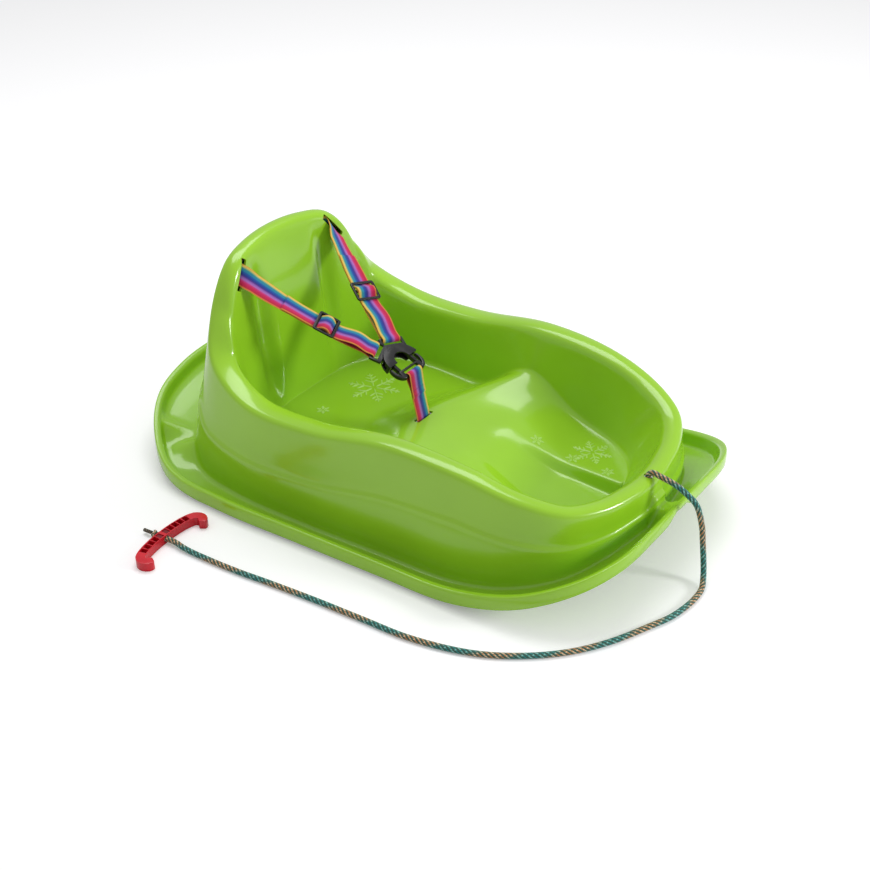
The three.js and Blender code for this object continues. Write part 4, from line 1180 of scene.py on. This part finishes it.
def build_shoulder_straps(cloth):
    (left, left_cuts), (right, right_cuts) = (shoulder_route(side) for side in (1, -1))
    cuts = left_cuts + [len(left)] + [len(left) + len(right) - 1 - c for c in right_cuts[::-1]]
    parts = ("strap_end", "strap_loop", "strap_root")
    names = [f"{part}_left" for part in parts] + [f"{part}_right" for part in parts[::-1]]
    for piece in ribbon(names, left + right[::-1], cuts):
        settle(piece, "shoulder_webbing", None, cloth)
        blend_strap(piece)


def build_crotch_strap(cloth):
    bar = buckle_point(PLUG_BAR_D, 0)
    slot = np.array([CROTCH_X, 0, HUMP_Z])
    strap = ribbon(["crotch_strap"], crotch_route())[0]
    settle(strap, "crotch_webbing", None, cloth)
    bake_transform(strap)
    ahead = unit(slot - bar)
    up = np.array([-ahead[2], 0, ahead[0]])
    path = []
    for s in STITCH_ROWS:
        centre = bar + ahead * s + up * (LAYER + WEBBING_T / 2)
        places = np.linspace(-STITCH_REACH, STITCH_REACH, STITCH_COUNT)
        path += [(centre + LEFT * y, LEFT, up) for y in places]
    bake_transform(stitches("crotch_stitches", path, thread_material()))


# Rigid fittings: the solids' own shapes with their edges rounded.

def fitting(name, node, body, material, edge):
    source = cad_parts[node]
    piece = bpy.data.objects.new(name, source.data.copy())
    show(piece)
    cells = bmesh.new()
    cells.from_mesh(piece.data)
    bmesh.ops.remove_doubles(cells, verts=cells.verts, dist=JOINED * MM)
    bmesh.ops.dissolve_limit(
        cells, angle_limit=math.radians(FITTING_FLAT), verts=cells.verts, edges=cells.edges)
    cells.to_mesh(piece.data)
    cells.free()
    round_off = piece.modifiers.new("round", "BEVEL")
    round_off.width = edge * MM
    round_off.segments = 3
    round_off.limit_method = "ANGLE"
    round_off.angle_limit = math.radians(FITTING_ROUNDED)
    apply_modifiers(piece)
    shade_smooth(piece, FITTING_SHARP)
    return settle(piece, node, body, material)


# A curved outer claw of the buckle, drawn in the scene only.

def claw(name, side, material):
    line, _ = resample([np.array([d, y, 0.0]) for d, y in CLAW_ROUTE], 0.8)
    rows, around = len(line), 20
    ahead = np.gradient(line, axis=0)
    out = units(np.stack([-ahead[:, 1], ahead[:, 0], 0 * ahead[:, 0]], 1))
    a = full_turn(around)
    wide, high = (np.sign(v) * np.abs(v) ** CLAW_SQUARE for v in (np.cos(a), np.sin(a)))
    swell = np.interp(np.linspace(0, 1, rows), *CLAW_SWELL)[:, None]
    across = out[:, None] * (wide * swell * CLAW_HALF_WIDE)[..., None]
    lift = np.array([0, 0, 1.0]) * (high * np.sqrt(swell) * CLAW_HALF_HIGH)[..., None]
    points = line[:, None] + across + lift
    d, y, n = (points.reshape(-1, 3)[:, k] for k in range(3))
    points = BUCKLE_AT + np.outer(d, BUCKLE_DOWN) + np.outer(side * y, LEFT) + np.outer(n, BUCKLE_UP)
    piece = make_object(name, points * MM, tube_faces(rows, around))
    outward(piece)
    dress(piece, "plug", material)


# The handle's own axes: a along it and b across it. Its cells follow its bowed inner edge.

def handle_edge():
    half = [(HANDLE_HALF * a, HANDLE_BOW * b) for a, b in HANDLE_SHARES]
    line = [(-a, b) for a, b in half] + half[-2::-1]
    low = [p for p in line if p[1] < 0]
    return [p[0] for p in low], [p[1] for p in low]


def cut_cell(piece, edge, a, deep):
    b, ahead = (np.interp(a + d, *edge) for d in (0, 1))
    spin = math.radians(HANDLE_TURN)
    x = HANDLE_AT[0] + b * math.cos(spin) - a * math.sin(spin)
    y = HANDLE_AT[1] + b * math.sin(spin) + a * math.cos(spin)
    bpy.ops.mesh.primitive_cube_add(
        size=1, rotation=(0, 0, spin - math.atan(ahead - b)), location=(x * MM, y * MM, HANDLE_T * MM))
    cutter = bpy.context.object
    cutter.scale = (CELL_ACROSS * MM, CELL_ALONG * MM, 2 * deep * MM)
    cut_out(piece, cutter)


# Faces on the cells' floors, which take the painted shade.
def in_cell(face, edge):
    spin = math.radians(HANDLE_TURN)
    x, y = face.center[0] / MM - HANDLE_AT[0], face.center[1] / MM - HANDLE_AT[1]
    a, b = y * math.cos(spin) - x * math.sin(spin), x * math.cos(spin) + y * math.sin(spin)
    near = abs(b - np.interp(a, *edge)) < CELL_REACH
    low, high = CELL_DEPTHS
    return near and face.normal.z > 0.5 and low < face.center[2] / MM < high


def build_handle():
    red = moulded("red_handle", HANDLE_RED, rough=0.24, grain=1500.0, depth=0.12)
    piece = fitting("handle", "pull_handle", "sled", red, 0.9)
    edge = handle_edge()
    for a, deep in HANDLE_CELLS:
        cut_cell(piece, edge, a, deep)
    # The cells' floors take a darker red: painted shade in the pockets.
    shadow = moulded("red_cells_painted_shade", CELL_SHADE_RED, rough=0.65, grain=1500.0, depth=0.12)
    piece.data.materials.append(shadow)
    for face in piece.data.polygons:
        if in_cell(face, edge):
            face.material_index = 1


def build_fittings():
    black = moulded("black_acetal", BLACK, rough=0.3, grain=2400.0, depth=0.25)
    for name, node, body, edge in FITTINGS:
        fitting(name, node, body, black, edge)
    for side, name in ((1, "claw_left"), (-1, "claw_right")):
        claw(name, side, black)
    fitting("seat_anchor", "crotch_anchor_bar", "sled", black, 0.5)
    build_handle()


# Raised frost stars on the tub's floor.

def frost_lines(radius):
    lines = []
    for k in range(6):
        turn = k * math.pi / 3
        out = np.array([math.cos(turn), math.sin(turn)])
        lines.append((out * FROST_CORE, out))
        for start, long in FROST_BRANCHES:
            for hand in (-1, 1):
                a = turn + hand * FROST_BRANCH_TURN
                lines.append((out * start, out * start + long * np.array([math.cos(a), math.sin(a)])))
    return [(a * radius, b * radius) for a, b in lines]


def frost_ridge(ground, a, b, wide, high):
    steps = max(int(np.linalg.norm(b - a) / FROST_STEP), 2)
    side = unit((a[1] - b[1], b[0] - a[0])) * wide / 2
    points = []
    for k in range(steps + 1):
        at = lerp(a, b, k / steps)
        taper = 0.5 if k in (0, steps) else 1.0
        for w, h in FROST_SECTION:
            x, y = at + side * w * taper
            above = Vector((x * MM, y * MM, RAY_FROM * MM))
            spot, normal, _, _ = ground.ray_cast(above, Vector((0, 0, -1)))
            if normal.z < 0:
                normal = -normal
            points.append(np.array(spot) + np.array(normal) * high * MM * h * taper)
    return points


def frost_star(name, ground, centre, radius, turn, material):
    wide, high = FROST_LARGE if radius > FROST_LARGE_FROM else FROST_SMALL
    spin = np.array([[math.cos(turn), -math.sin(turn)], [math.sin(turn), math.cos(turn)]])
    across = len(FROST_SECTION)
    points, faces = [], []
    for a, b in frost_lines(radius):
        ridge = frost_ridge(ground, spin @ a + centre, spin @ b + centre, wide, high)
        for k in range(len(ridge) // across - 1):
            for j in range(across - 1):
                i = len(points) + k * across + j
                faces.append((i, i + across, i + across + 1, i + 1))
        points += ridge
    piece = make_object(name, points, faces)
    dress(piece, "sled", material)


def build_frost(hull):
    material = green_plastic("frosted_green", FROST_GREEN, smoothest=0.3, roughest=0.42)
    cells = bmesh.new()
    cells.from_mesh(hull.data)
    ground = BVHTree.FromBMesh(cells)
    cells.free()
    for k, (x, y, radius, turn) in enumerate(FROST_STARS):
        frost_star(f"frost_{k}", ground, np.array([x, y]), radius, turn, material)


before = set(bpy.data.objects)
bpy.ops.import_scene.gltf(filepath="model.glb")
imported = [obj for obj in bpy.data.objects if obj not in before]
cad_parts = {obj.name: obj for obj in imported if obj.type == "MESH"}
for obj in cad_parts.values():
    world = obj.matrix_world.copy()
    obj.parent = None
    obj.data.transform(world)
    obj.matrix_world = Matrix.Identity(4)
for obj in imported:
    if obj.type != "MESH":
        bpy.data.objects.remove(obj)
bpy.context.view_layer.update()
add_camera()
rope_yarn = yarn_material()
build_rope_ends(rope_yarn)
build_fittings()
build_rope(rope_yarn)
add_sky()
add_floor()
add_lamp("overhead", place=(-0.5, 0.5, 2.2), aim=(0, 0, 0.1), size=(1.8, 1.2), watts=26)
add_lamp("front", place=(2.3, 0.95, 1.0), aim=(-0.1, 0, 0.1), size=(0.5, 0.5), watts=30)
build_frost(build_hull())
webbing_cloth = webbing_material()
build_shoulder_straps(webbing_cloth)
build_crotch_strap(webbing_cloth)

bpy.context.scene.view_settings.view_transform = "Standard"
